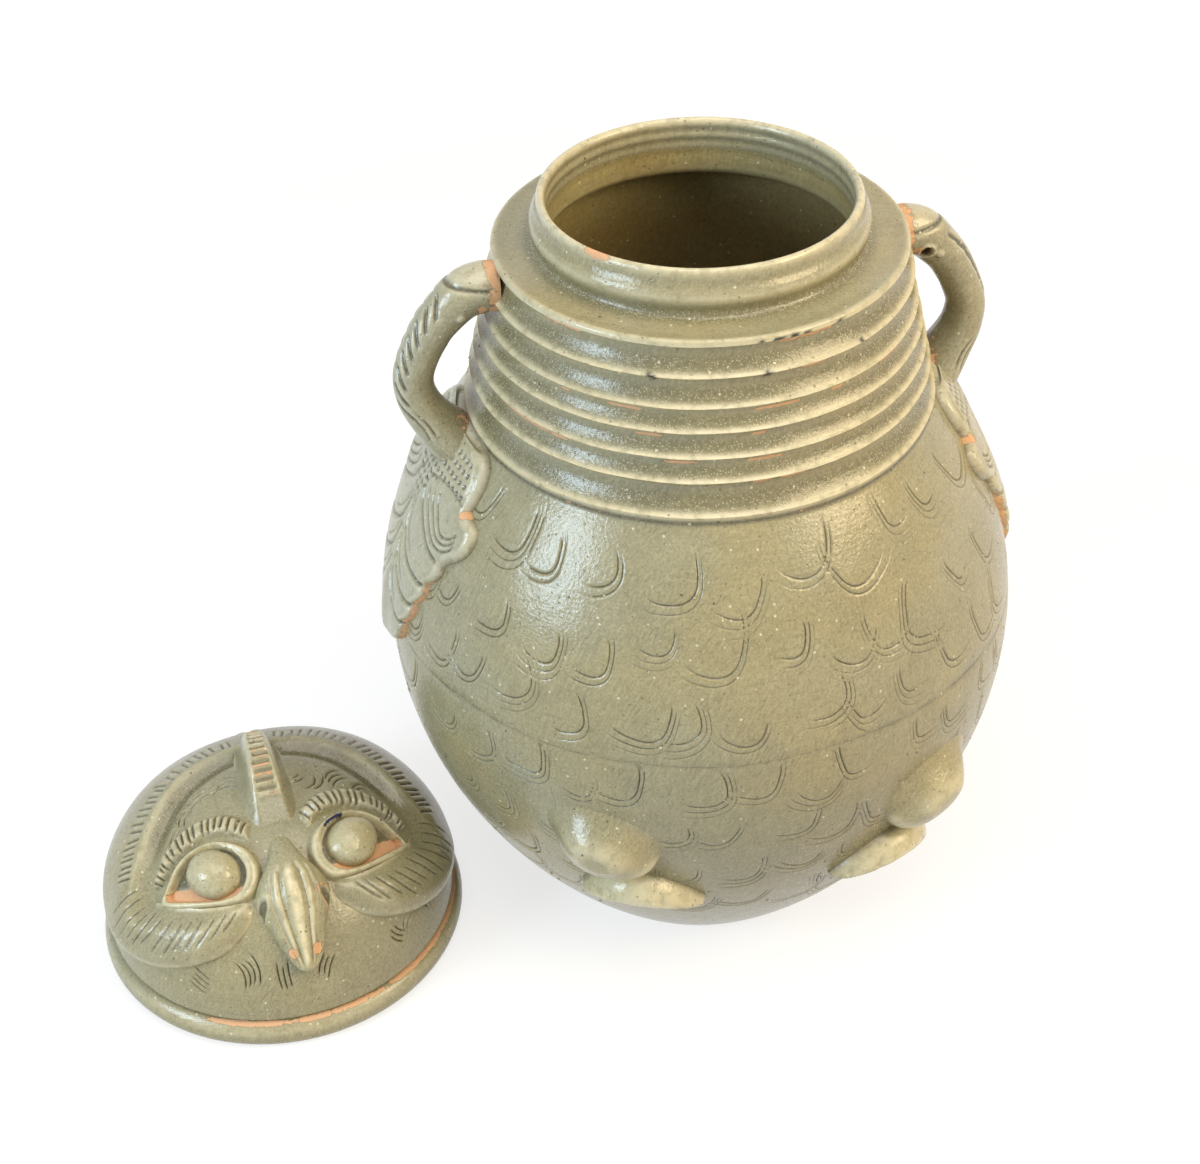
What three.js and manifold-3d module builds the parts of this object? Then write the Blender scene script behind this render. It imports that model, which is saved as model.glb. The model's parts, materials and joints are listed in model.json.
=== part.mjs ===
// Owl-shaped lidded storage jar in glazed stoneware, with the owl-head lid standing beside it.
// Millimetres, +Z up. The origin is the centre of the jar's flat foot. The owl faces -Y, its bird
// handles are on -X and +X, and "left" and "right" are those of a viewer who faces the owl.
import * as THREE from 'three';
import { mergeVertices } from 'three/addons/utils/BufferGeometryUtils.js';
import Module from 'manifold-3d';

const wasm = await Module();
wasm.setup();

// Driving dimensions of the jar
const FOOT_RADIUS = 61;
const BELLY_RADIUS = 119.5;
const BELLY_HEIGHT = 127.4;
const SHOULDER_RADIUS = 85.1;
const COLLAR_BASE = 219;
const COLLAR_RISE = 64.4;
const COLLAR_TAPER = 11;
const RIB_PROUD = 3;
const RIB_HALF_HEIGHT = 3.6;
const RIB_RISES = [4.5, 16.4, 24.7, 33.4, 41.2, 51.6];
const SEAM_HEIGHT = 143;
const BODY_WALL = 6;
const FLOOR_THICKNESS = 9;

// The lid seat is the flat top of the collar, and the neck stands inside it
const SEAT_OUTER_RADIUS = 71;
const SEAT_EDGE_ROUND = 1.8;
const NECK_RADIUS = 58.9;
const NECK_RISE = 16.6;
const NECK_GROOVE = 1.4;
const LIP_RADIUS = 56.2;
const LIP_WALL = 3.8;
const THROAT_WALL = 5.4;

// The gap that a luted piece keeps to the one that carries it
const LUTING_GAP = 0.3;

// Bird handles: a bent roll of clay from the shoulder to the collar
const HANDLE_RADIUS = 7.6;
const HANDLE_REACH = 20;
const HANDLE_ROOT_DROP = 6;
const HANDLE_HEAD_RADIUS = 8.6;
const HANDLE_HEAD_DROP = 11;
const HANDLE_BEAK_LENGTH = 13;

// Moulded bird plaques at the foot of the handles: how far they rise over the collar's base, and
// their outline as half width against drop
const PLAQUE_THICKNESS = 5;
const PLAQUE_RISE = 2;
const PLAQUE_OUTLINE = [
  [0, 0], [13, 0], [24, 1.4], [29.5, 4.5], [32.5, 9], [33, 18], [38, 20.5], [42, 27], [39.5, 33], [34, 39],
  [32.5, 46], [28.5, 55], [24, 68], [19.5, 78], [12, 86], [0, 90],
];

// The owl's thighs and feet
const THIGH_AZIMUTH = 31.5;
const THIGH_HEIGHT = 99;
const THIGH_HALF = { width: 20.5, proud: 11, height: 15.5 };
const FOOT_AZIMUTH = 26;
const FOOT_HEIGHT = 70.5;
const FOOT_HALF = { width: 24, proud: 10.5, height: 9.8 };

// The lid: where it stands, how far its face is turned, and its dome
const LID_CENTRE = { x: -177, y: -10.1 };
const LID_TURN_DEGREES = 5;
const LID_RIM_RADIUS = 72.9;
const LID_RIM_HEIGHT = 12.5;
const LID_RIM_WIDTH = 10.4;
const LID_GROOVE_DEPTH = 3.4;
const DOME_RADIUS = 69.4;
const DOME_BASE = 14;
const DOME_RISE = 58;
const DOME_WALL = 6;

// Pieces luted on the dome: outlines are [degrees round from the face's middle, degrees from the top]
const RUFF_THICKNESS = 4.6;
const RUFF_OUTLINE = [
  [172, 20], [150, 21.8], [135, 24], [117, 28.3], [100, 33.4], [88.5, 38.8], [77.6, 45.4], [70.5, 51.6],
  [63.5, 55.4], [57, 54], [50, 53], [39, 50.8], [28.6, 48.8], [21, 47.8], [16.5, 50.5], [21, 55.5], [27, 61], [36, 67],
  [46, 72], [57, 76], [70, 78], [84, 77], [100, 73], [118, 66], [137, 57], [155, 48], [172, 42],
];
const BROW_THICKNESS = 3.8;
const BROW_OUTLINE = [
  [27, 17.6], [41, 16.4], [57, 16.6], [72, 20.4], [78, 28.6], [75, 37.3], [70, 44.4], [66, 50],
  [62.6, 47], [63.4, 41.5], [62, 34], [57, 26.6], [42, 22.4], [25, 22.6],
];
const EYELID_THICKNESS = 4.2;
const EYELID_OUTLINE = [
  [57.6, 52.6], [59.7, 45.7], [61.4, 38.9], [59.6, 32.3], [51.8, 26.9], [38, 24.8], [23.4, 26.2], [15.5, 31],
  [15, 37], [19.4, 42.2], [29, 45.2], [42, 48.6], [51.4, 51.8],
];
const EYE_OPENING_OUTLINE = [
  [55.6, 49.6], [56.6, 44.6], [57.4, 39], [55.8, 33.6], [49.4, 29], [39, 27.4], [28.8, 29.2], [22.8, 33.2],
  [22.6, 37.6], [26.4, 41.3], [34.4, 43.9], [45, 46.4],
];
const EYEBALL_RADIUS = 11.4;
const EYEBALL_OVAL = 0.85;
const EYEBALL_PROUD = 0.78;
const EYE_ROUND = 40.8;
const EYE_DOWN = 35.9;
const EYE_SINK = 0.5;

// The crest and the beak are drawn from the side as [towards the face's front, height, half width]
const CREST_SECTIONS = [
  [-25, 8, 4], [-18, 13.5, 6.2], [-6, 14.8, 6.4], [2, 13.2, 6], [8, 8.4, 5.6], [13, 2.6, 5],
];
const CREST_FOOT_SPREAD = 3;
const BEAK_SECTIONS = [
  [35, 66.5, 5], [42, 69.5, 9], [50, 65.2, 13.6], [57, 58.6, 13], [64, 50, 9.4], [69, 42.8, 5.8],
  [71, 38.4, 3.4],
];
const BEAK_FULLNESS = 2.2;

// Facets
const ROUND_STEPS = 48;
const EGG_STEPS = 9;
const DOME_STEPS = 10;
const BALL_STEPS = 16;
const ROLL_SIDES = 12;
const ROLL_STEPS = 16;
const RIM_STEPS = 7;
const CUT_MARGIN = 20;

const FULL_TURN = 2 * Math.PI;
const radians = THREE.MathUtils.degToRad;
const SEAT_HEIGHT = COLLAR_BASE + COLLAR_RISE;
const LIP_HEIGHT = SEAT_HEIGHT + NECK_RISE;
const PLAQUE_TOP = COLLAR_BASE + PLAQUE_RISE;

const finishes = {
  glaze: { color: 0x8e8e6e, roughness: 0.32, metalness: 0 },
  paleGlaze: { color: 0x9c9a78, roughness: 0.3, metalness: 0 },
};

/** Turns a closed geometry into a solid, with its shared vertices merged and its faces out. */
function solidOf(geometry) {
  geometry.deleteAttribute('normal');
  geometry.deleteAttribute('uv');
  const merged = mergeVertices(geometry, 1e-4);
  const places = merged.getAttribute('position').array;
  const corners = [];
  const a = new THREE.Vector3();
  const b = new THREE.Vector3();
  const c = new THREE.Vector3();
  let volume = 0;
  for (let i = 0; i < merged.index.count; i += 3) {
    const [p, q, r] = [0, 1, 2].map((k) => merged.index.getX(i + k));
    if (p === q || q === r || r === p) continue;
    a.fromArray(places, 3 * p);
    b.fromArray(places, 3 * q);
    c.fromArray(places, 3 * r);
    volume += a.dot(b.cross(c));
    corners.push(p, q, r);
  }
  if (volume < 0) corners.reverse();
  return new wasm.Manifold(new wasm.Mesh({
    numProp: 3,
    vertProperties: new Float32Array(places),
    triVerts: new Uint32Array(corners),
  }));
}

/** Gives a solid back as a geometry with its normals. */
function geometryOf(solid) {
  const mesh = solid.getMesh();
  const geometry = new THREE.BufferGeometry();
  geometry.setAttribute('position', new THREE.BufferAttribute(new Float32Array(mesh.vertProperties), 3));
  geometry.setIndex(new THREE.BufferAttribute(new Uint32Array(mesh.triVerts), 1));
  geometry.computeVertexNormals();
  return geometry;
}

/** Turns a profile of [radius, height] pairs round the Z axis. */
function turned(profile) {
  const points = profile.map(([radius, height]) => new THREE.Vector2(Math.max(radius, 0), height));
  return solidOf(new THREE.LatheGeometry(points, ROUND_STEPS).rotateX(Math.PI / 2));
}

/** A named mesh of one solid. */
function piece(name, solid, finish) {
  const mesh = new THREE.Mesh(geometryOf(solid), new THREE.MeshStandardMaterial(finish));
  mesh.name = name;
  return mesh;
}

/** Mirrors a solid across the plane x = 0. */
function mirrored(solid) {
  return solidOf(geometryOf(solid).applyMatrix4(new THREE.Matrix4().makeScale(-1, 1, 1)));
}

/** Radius of the thrown egg shape at a height below the collar. */
function eggRadius(height) {
  if (height < BELLY_HEIGHT) {
    const below = (BELLY_HEIGHT - height) / BELLY_HEIGHT;
    return BELLY_RADIUS - (BELLY_RADIUS - FOOT_RADIUS) * below ** 2;
  }
  const above = (height - BELLY_HEIGHT) / (COLLAR_BASE - BELLY_HEIGHT);
  return BELLY_RADIUS - (BELLY_RADIUS - SHOULDER_RADIUS) * above ** 2;
}

/** Points of the egg from one height to another, moved out by grow. */
function eggProfile(from, to, grow) {
  return Array.from({ length: EGG_STEPS + 1 }, (_, i) => {
    const height = from + ((to - from) * i) / EGG_STEPS;
    return [eggRadius(height) + grow, height];
  });
}

/** Radius of the collar between its ribs. */
function collarRadius(rise) {
  const seatEdge = SEAT_OUTER_RADIUS + SEAT_EDGE_ROUND - RIB_PROUD;
  return seatEdge + COLLAR_TAPER * (1 - rise / COLLAR_RISE);
}

/** The collar's outside from the lowest rib to the rounded edge of the lid seat. */
function collarProfile(grow) {
  const ribs = RIB_RISES.flatMap((rise) => [[-1, 0], [-0.55, 0.8], [0, 1], [0.55, 0.8], [1, 0]].map(
    ([up, out]) => {
      const at = rise + up * RIB_HALF_HEIGHT;
      return [collarRadius(at) + out * RIB_PROUD + grow, COLLAR_BASE + at];
    },
  ));
  const edge = SEAT_OUTER_RADIUS + SEAT_EDGE_ROUND + grow;
  return [
    ...ribs,
    [edge - RIB_PROUD, SEAT_HEIGHT - 3 * SEAT_EDGE_ROUND],
    [edge, SEAT_HEIGHT - SEAT_EDGE_ROUND],
    [SEAT_OUTER_RADIUS + grow, SEAT_HEIGHT],
  ];
}

/** The whole outside of the jar up to the lid seat as a filled solid, used to cut luted pieces. */
function jarEnvelope(grow) {
  return turned([
    [0, -CUT_MARGIN],
    [FOOT_RADIUS + grow, -CUT_MARGIN],
    ...eggProfile(0, SEAM_HEIGHT, grow),
    ...eggProfile(SEAM_HEIGHT, COLLAR_BASE, grow).slice(1),
    ...collarProfile(grow),
    [0, SEAT_HEIGHT],
  ]);
}

/** Lower half of the thrown body with its flat foot, open at the seam. */
function jarLowerBody() {
  const inside = eggProfile(FLOOR_THICKNESS, SEAM_HEIGHT, -BODY_WALL);
  return turned([
    [0, 0],
    ...eggProfile(0, SEAM_HEIGHT, 0),
    ...inside.reverse(),
    [0, FLOOR_THICKNESS],
  ]);
}

/** Upper half of the body with ribbed collar, lid seat, neck and lip, open at both ends. */
function jarUpperBody() {
  const outside = [...eggProfile(SEAM_HEIGHT, COLLAR_BASE, 0), ...collarProfile(0)];
  const lipRound = LIP_WALL / 2;
  const neck = [
    [NECK_RADIUS, SEAT_HEIGHT],
    [NECK_RADIUS - NECK_GROOVE, SEAT_HEIGHT + 0.12 * NECK_RISE],
    [NECK_RADIUS, SEAT_HEIGHT + 0.4 * NECK_RISE],
    [NECK_RADIUS - NECK_GROOVE, SEAT_HEIGHT + 0.62 * NECK_RISE],
    [LIP_RADIUS, LIP_HEIGHT - lipRound],
    [LIP_RADIUS - 0.4 * lipRound, LIP_HEIGHT - 0.25 * lipRound],
    [LIP_RADIUS - lipRound, LIP_HEIGHT],
    [LIP_RADIUS - LIP_WALL, LIP_HEIGHT - lipRound],
    [NECK_RADIUS - THROAT_WALL, SEAT_HEIGHT + 0.4 * NECK_RISE],
    [NECK_RADIUS - THROAT_WALL, SEAT_HEIGHT - BODY_WALL],
  ];
  const collarInside = [0.75, 0.4, 0].map((share) => [
    collarRadius(share * COLLAR_RISE) - BODY_WALL,
    COLLAR_BASE + share * COLLAR_RISE,
  ]);
  const inside = eggProfile(SEAM_HEIGHT, COLLAR_BASE - 2 * RIB_HALF_HEIGHT, -BODY_WALL).reverse();
  const loop = [...outside, ...neck, ...collarInside, ...inside];
  return turned([...loop, loop[0]]);
}

/** The part of a plaque's space that lies within its outline, seen along X, on the +X side. */
function plaqueColumn(grow) {
  const tail = PLAQUE_OUTLINE[PLAQUE_OUTLINE.length - 1][1];
  const side = PLAQUE_OUTLINE.map(([half, drop]) => [
    half + (half > 0 ? grow : 0),
    PLAQUE_TOP - drop + (drop === 0 ? grow : 0) - (drop === tail ? grow : 0),
  ]);
  const back = side.slice(1, -1).reverse().map(([half, height]) => [-half, height]);
  const outline = new THREE.Shape([...side, ...back].map(([y, z]) => new THREE.Vector2(y, z)));
  const reach = BELLY_RADIUS + CUT_MARGIN;
  const block = new THREE.ExtrudeGeometry(outline, { depth: reach, bevelEnabled: false });
  block.applyMatrix4(new THREE.Matrix4().makeBasis(
    new THREE.Vector3(0, 1, 0),
    new THREE.Vector3(0, 0, 1),
    new THREE.Vector3(1, 0, 0),
  ));
  return solidOf(block);
}

/** A plaque on the +X side, grown all round by grow, before its back is fitted to the body. */
function plaqueSpace(grow) {
  return plaqueColumn(grow).intersect(jarEnvelope(LUTING_GAP + PLAQUE_THICKNESS + grow));
}

/** Moulded bird relief on the +X side, curved to the shoulder that it is luted on. */
function birdPlaque() {
  return plaqueSpace(0).subtract(jarEnvelope(LUTING_GAP));
}

/** Bent roll with the bird's head, on the +X side, fitted to the collar, shoulder and plaque. */
function birdHandle() {
  const rootHeight = COLLAR_BASE - HANDLE_ROOT_DROP;
  const rootRadius = eggRadius(rootHeight);
  const headHeight = SEAT_HEIGHT - HANDLE_HEAD_DROP;
  const headRadius = SEAT_OUTER_RADIUS + HANDLE_HEAD_RADIUS + 2 * LUTING_GAP;
  const bendHeight = (rootHeight + headHeight) / 2;
  const rollAt = (radius, height) => new THREE.Vector3(radius, 0, height);
  const route = new THREE.CatmullRomCurve3([
    rollAt(rootRadius - 2 * HANDLE_RADIUS, rootHeight - 2 * HANDLE_RADIUS),
    rollAt(rootRadius, rootHeight),
    rollAt(SHOULDER_RADIUS + 0.72 * HANDLE_REACH, bendHeight - 2 * HANDLE_RADIUS),
    rollAt(SHOULDER_RADIUS + 0.82 * HANDLE_REACH, bendHeight),
    rollAt(headRadius + 1.6 * HANDLE_HEAD_RADIUS, headHeight - HANDLE_HEAD_RADIUS),
    rollAt(headRadius, headHeight),
  ]);
  const section = new THREE.Shape();
  section.absarc(0, 0, HANDLE_RADIUS, 0, FULL_TURN);
  const roll = new THREE.ExtrudeGeometry(
    new THREE.Shape(section.getSpacedPoints(ROLL_SIDES).slice(0, ROLL_SIDES)),
    { steps: ROLL_STEPS, extrudePath: route },
  );
  const head = new THREE.SphereGeometry(HANDLE_HEAD_RADIUS, BALL_STEPS, BALL_STEPS / 2);
  head.translate(headRadius, 0, headHeight);
  const beak = new THREE.ConeGeometry(HANDLE_HEAD_RADIUS / 2, HANDLE_BEAK_LENGTH, ROLL_SIDES);
  beak.rotateZ(Math.PI / 2);
  beak.translate(headRadius - HANDLE_BEAK_LENGTH / 2, 0, headHeight + HANDLE_HEAD_RADIUS / 4);
  return solidOf(roll)
    .add(solidOf(head))
    .add(solidOf(beak))
    .subtract(jarEnvelope(LUTING_GAP))
    .subtract(plaqueSpace(LUTING_GAP));
}

/** An egg-shaped lump pressed on the body at an azimuth to the right of the owl's front. */
function lump(azimuth, height, half, grow) {
  const ball = new THREE.SphereGeometry(1, BALL_STEPS, BALL_STEPS);
  ball.scale(half.width + grow, half.proud + grow, half.height + grow);
  ball.translate(0, -eggRadius(height), height);
  ball.rotateZ(radians(azimuth));
  return solidOf(ball);
}

/** The owl's right-hand thigh lump. */
function thigh() {
  return lump(THIGH_AZIMUTH, THIGH_HEIGHT, THIGH_HALF, 0).subtract(jarEnvelope(LUTING_GAP));
}

/** The foot below it, cut back where the thigh comes down on it. */
function foot() {
  return lump(FOOT_AZIMUTH, FOOT_HEIGHT, FOOT_HALF, 0)
    .subtract(lump(THIGH_AZIMUTH, THIGH_HEIGHT, THIGH_HALF, LUTING_GAP))
    .subtract(jarEnvelope(LUTING_GAP));
}

/** Height of the dome at a radius. */
function domeHeight(radius) {
  return DOME_BASE + DOME_RISE * Math.sqrt(Math.max(0, 1 - (radius / DOME_RADIUS) ** 2));
}

/** A quarter ellipse from the dome's base to its top, moved out by grow. */
function domeProfile(grow) {
  return Array.from({ length: DOME_STEPS + 1 }, (_, i) => {
    const turn = (i / DOME_STEPS) * (Math.PI / 2);
    return [(DOME_RADIUS + grow) * Math.cos(turn), DOME_BASE + (DOME_RISE + grow) * Math.sin(turn)];
  });
}

/** The rim roll's outside, from its flat underside round to the groove above it. */
function rimProfile(grow) {
  const half = LID_RIM_HEIGHT / 2;
  const centre = LID_RIM_RADIUS - half;
  return Array.from({ length: RIM_STEPS }, (_, i) => {
    const turn = ((i + 0.6) / (RIM_STEPS - 0.4) - 0.5) * Math.PI;
    return [centre + (half + grow) * Math.cos(turn), half + (half + grow) * Math.sin(turn)];
  });
}

/** The lid's outside as a filled solid, used to cut the pieces luted on it. */
function lidEnvelope(grow) {
  return turned([
    [0, -CUT_MARGIN],
    [LID_RIM_RADIUS + grow, -CUT_MARGIN],
    ...rimProfile(grow).slice(RIM_STEPS / 2),
    ...domeProfile(grow),
  ]);
}

/** The thrown dome with its rim roll, hollow from below. */
function lidShell() {
  const rimInner = LID_RIM_RADIUS - LID_RIM_WIDTH;
  const hollow = domeProfile(-DOME_WALL).map(([radius, height]) => [Math.min(radius, rimInner), height]);
  return turned([
    [rimInner, 0],
    [LID_RIM_RADIUS - LID_RIM_HEIGHT / 2, 0],
    ...rimProfile(0).slice(1),
    [DOME_RADIUS - LID_GROOVE_DEPTH / 2, LID_RIM_HEIGHT],
    ...domeProfile(0),
    ...hollow.reverse(),
    [rimInner, 0],
  ]);
}

/** A column that widens from the dome's centre through an outline given in degrees. */
function domeColumn(outline) {
  const ring = outline.map(([round, down]) => {
    const radius = Math.sin(radians(down));
    return new THREE.Vector3(
      DOME_RADIUS * radius * Math.sin(radians(round)),
      -DOME_RADIUS * radius * Math.cos(radians(round)),
      DOME_RISE * Math.cos(radians(down)),
    );
  });
  const flat = outline.map(([round, down]) => new THREE.Vector2(
    down * Math.sin(radians(round)),
    -down * Math.cos(radians(round)),
  ));
  const caps = THREE.ShapeUtils.triangulateShape(flat, []);
  const inner = ring.map((place) => place.clone().multiplyScalar(0.6));
  const outer = ring.map((place) => place.clone().multiplyScalar(1.4));
  const places = [...inner, ...outer].flatMap((place) => [place.x, place.y, place.z + DOME_BASE]);
  const count = ring.length;
  const corners = [];
  caps.forEach(([p, q, r]) => corners.push(p, r, q, p + count, q + count, r + count));
  const turnsLeft = THREE.ShapeUtils.area(flat) > 0;
  for (let i = 0; i < count; i += 1) {
    const [from, to] = turnsLeft ? [i, (i + 1) % count] : [(i + 1) % count, i];
    corners.push(from, to, to + count, from, to + count, from + count);
  }
  const geometry = new THREE.BufferGeometry();
  geometry.setAttribute('position', new THREE.Float32BufferAttribute(places, 3));
  geometry.setIndex(corners);
  return solidOf(geometry);
}

/** A slab of even thickness on the dome, bounded by an outline. */
function slabOnDome(outline, thickness) {
  return domeColumn(outline)
    .intersect(lidEnvelope(LUTING_GAP + thickness))
    .subtract(lidEnvelope(LUTING_GAP));
}

/** The oval ball of the right eye, leaned out as the dome is and grown by grow. */
function eyeSpace(grow) {
  const ball = new THREE.SphereGeometry(1, BALL_STEPS, BALL_STEPS);
  const away = DOME_RADIUS * Math.sin(radians(EYE_DOWN));
  ball.scale(EYEBALL_RADIUS + grow, EYEBALL_OVAL * EYEBALL_RADIUS + grow, EYEBALL_PROUD * EYEBALL_RADIUS + grow);
  ball.rotateX(Math.atan((DOME_RISE / DOME_RADIUS) * Math.tan(radians(EYE_DOWN))));
  ball.translate(0, -away, domeHeight(away) - EYE_SINK);
  ball.rotateZ(radians(EYE_ROUND));
  return solidOf(ball);
}

/** Ball of the right eye, cut flat where it is stuck on the dome. */
function eyeball() {
  return eyeSpace(0).subtract(lidEnvelope(LUTING_GAP));
}

/** Almond ring of clay round the right eye. */
function eyelid() {
  return slabOnDome(EYELID_OUTLINE, EYELID_THICKNESS)
    .subtract(domeColumn(EYE_OPENING_OUTLINE))
    .subtract(eyeSpace(LUTING_GAP));
}

/** Notched brow above the right eye. */
function brow() {
  return slabOnDome(BROW_OUTLINE, BROW_THICKNESS).subtract(eyeSpace(LUTING_GAP));
}

/** Band of face feathers on the right, from behind the crest round to the cheek lobe. */
function ruff() {
  return slabOnDome(RUFF_OUTLINE, RUFF_THICKNESS).subtract(crestSpace(LUTING_GAP));
}

/** Solid through sections across the face's middle: each a ridge of five points and a base. */
function ridge(sections) {
  const rings = sections.map(({ front, top, half, spread, base }) => [
    [half + spread, base],
    [half, base + 0.7 * (top - base)],
    [0.6 * half, top - 0.04 * (top - base)],
    [-0.6 * half, top - 0.04 * (top - base)],
    [-half, base + 0.7 * (top - base)],
    [-half - spread, base],
  ].map(([side, height]) => [side, -front, height]));
  const count = rings[0].length;
  const corners = [];
  for (let i = 0; i + 1 < rings.length; i += 1) {
    for (let k = 0; k < count; k += 1) {
      const [a, b] = [i * count + k, i * count + ((k + 1) % count)];
      corners.push(a, b, b + count, a, b + count, a + count);
    }
  }
  const last = (rings.length - 1) * count;
  for (let k = 1; k + 1 < count; k += 1) {
    corners.push(0, k + 1, k, last, last + k, last + k + 1);
  }
  const geometry = new THREE.BufferGeometry();
  geometry.setAttribute('position', new THREE.Float32BufferAttribute(rings.flat(2), 3));
  geometry.setIndex(corners);
  return solidOf(geometry);
}

/** The space of the crest along the top of the head, grown by grow. */
function crestSpace(grow) {
  const domeTop = DOME_BASE + DOME_RISE;
  return ridge(CREST_SECTIONS.map(([front, rise, half]) => ({
    front: front + Math.sign(front) * grow,
    top: domeTop + rise + grow,
    half: half + grow,
    spread: CREST_FOOT_SPREAD,
    base: domeTop - 2 * DOME_WALL,
  })));
}

/** Notched crest along the top of the head. */
function crest() {
  return crestSpace(0).subtract(lidEnvelope(LUTING_GAP));
}

/** Hooked beak that stands out from the middle of the face. */
function beak() {
  return ridge(BEAK_SECTIONS.map(([front, top, half]) => ({
    front,
    top,
    half,
    spread: 0,
    base: Math.max(domeHeight(front) - DOME_WALL, top - BEAK_FULLNESS * half),
  }))).subtract(lidEnvelope(LUTING_GAP));
}

/** Adds a piece made for the right and its mirror image for the left. */
function addPair(group, name, solid, finish) {
  group.add(piece(`${name}_left`, mirrored(solid), finish));
  group.add(piece(`${name}_right`, solid, finish));
}

const jar = new THREE.Group();
jar.add(piece('jar_lower_body', jarLowerBody(), finishes.glaze));
jar.add(piece('jar_upper_body', jarUpperBody(), finishes.glaze));
addPair(jar, 'bird_handle', birdHandle(), finishes.paleGlaze);
addPair(jar, 'bird_plaque', birdPlaque(), finishes.paleGlaze);
addPair(jar, 'thigh', thigh(), finishes.glaze);
addPair(jar, 'foot', foot(), finishes.glaze);

const lid = new THREE.Group();
lid.add(piece('lid_shell', lidShell(), finishes.glaze));
lid.add(piece('lid_crest', crest(), finishes.paleGlaze));
lid.add(piece('lid_beak', beak(), finishes.paleGlaze));
addPair(lid, 'lid_brow', brow(), finishes.glaze);
addPair(lid, 'lid_eyelid', eyelid(), finishes.paleGlaze);
addPair(lid, 'lid_eyeball', eyeball(), finishes.paleGlaze);
addPair(lid, 'lid_ruff', ruff(), finishes.glaze);
lid.position.set(LID_CENTRE.x, LID_CENTRE.y, 0);
lid.rotation.z = radians(LID_TURN_DEGREES);

const owlJar = new THREE.Group();
owlJar.add(jar, lid);

export default owlJar;
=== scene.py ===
"""Looks of the owl-shaped lidded jar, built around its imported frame.

The jar and its lid are glazed stoneware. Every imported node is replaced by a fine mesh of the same
piece, worked out in millimetres from the sizes below, and dressed in a celadon glaze. Angles round
the jar and the lid are counted from the owl's front, positive to the viewer's right.
"""

import json
import logging
import math
from collections.abc import Callable
from dataclasses import dataclass, field, replace
from enum import Enum

import bmesh
import bpy
import numpy as np
from mathutils import Matrix, Vector
from mathutils.geometry import delaunay_2d_cdt
from mathutils.kdtree import KDTree

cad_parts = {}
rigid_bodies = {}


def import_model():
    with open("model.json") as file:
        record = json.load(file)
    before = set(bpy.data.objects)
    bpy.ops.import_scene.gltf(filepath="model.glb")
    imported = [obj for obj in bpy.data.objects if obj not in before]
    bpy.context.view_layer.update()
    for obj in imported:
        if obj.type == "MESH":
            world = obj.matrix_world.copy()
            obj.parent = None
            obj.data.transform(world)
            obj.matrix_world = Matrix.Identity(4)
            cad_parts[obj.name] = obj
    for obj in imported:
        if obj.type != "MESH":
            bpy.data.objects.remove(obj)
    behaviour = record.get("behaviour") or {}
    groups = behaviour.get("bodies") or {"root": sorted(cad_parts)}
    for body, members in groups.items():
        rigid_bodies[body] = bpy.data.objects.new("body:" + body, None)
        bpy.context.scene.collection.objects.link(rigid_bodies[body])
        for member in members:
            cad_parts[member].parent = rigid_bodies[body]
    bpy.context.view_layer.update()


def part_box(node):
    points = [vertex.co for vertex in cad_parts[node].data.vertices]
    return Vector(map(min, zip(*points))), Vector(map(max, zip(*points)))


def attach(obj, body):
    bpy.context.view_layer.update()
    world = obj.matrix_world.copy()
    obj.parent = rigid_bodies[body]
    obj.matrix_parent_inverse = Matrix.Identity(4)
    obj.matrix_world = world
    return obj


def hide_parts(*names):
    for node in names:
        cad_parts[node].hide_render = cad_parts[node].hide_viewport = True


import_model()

MM = 0.001
CELL_PRIMES = (73856093, 19349663, 83492791)
SEED_PRIME = 2654435761
STIR_PRIME = 1274126177
SHARP_DEGREES = 62.0
POINTS_AT_ONCE = 2000
CURVE_STEPS = 24
log = logging.getLogger("owl_jar")

Array = np.ndarray
Socket = bpy.types.NodeSocket
Line = tuple[tuple[float, float], ...]
Colour = tuple[float, float, float]
Rule = Callable[[Array], Array]
FlatRule = Callable[[Array, Array], Array]


class Tone(Enum):
    """Point values that the glaze reads, each from 0 to 1."""

    # Dark glaze in cuts and along joints; also painted shade in the eye sockets and in the valley round the
    # face.
    GROOVE = "groove"
    THIN = "thin"
    # Glaze lying thick in hollows and valleys; also painted shade low on the belly, inside the hollows, in
    # the eye sockets, in the valley round the face and on the back of its band.
    POOL = "pool"
    BARE = "bare"
    INK = "ink"


class Side(Enum):
    """The two sides of the owl, as a viewer who faces it sees them."""

    LEFT = -1
    RIGHT = 1

    @property
    def word(self) -> str:
        """The side's name in the names of pieces."""
        return self.name.lower()


def ramp(low: float, high: float, value: Array) -> Array:
    """Smooth step of values, from 0 at low to 1 at high."""
    share = np.clip((value - low) / (high - low), 0.0, 1.0)
    return share * share * (3.0 - 2.0 * share)


def bell(value: Array, centre: float, width: float) -> Array:
    """Bell curve of height 1 with a centre and a half width, at values."""
    return np.exp(-((value - centre) / width) ** 2)


def circle(count: int) -> Array:
    """Evenly spaced angles round a whole turn."""
    return np.linspace(0, 2 * math.pi, count, endpoint=False)


def azimuth_of(points: Array) -> Array:
    """Degrees round from the owl's front at which points lie."""
    return np.degrees(np.arctan2(points[:, 0], -points[:, 1]))


def widened(points: Array, scale: Array) -> Array:
    """Multiplies the distances of points from the axis and keeps their heights."""
    return points * np.column_stack([scale, scale, np.ones(len(points))])


def turned_rings(rings: Array, turn: Array) -> Array:
    """Points of rings round the axis, whose first two columns are radius and height, at angles."""
    ring = np.column_stack([np.sin(turn), -np.cos(turn), np.ones(len(turn))])
    return np.vstack([ring * [radius, radius, height] for radius, height in rings[:, :2]])


def walked(line: Array) -> Array:
    """Distance along a line at each of its points."""
    return np.append(0.0, np.cumsum(np.linalg.norm(np.diff(line, axis=0), axis=1)))


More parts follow.
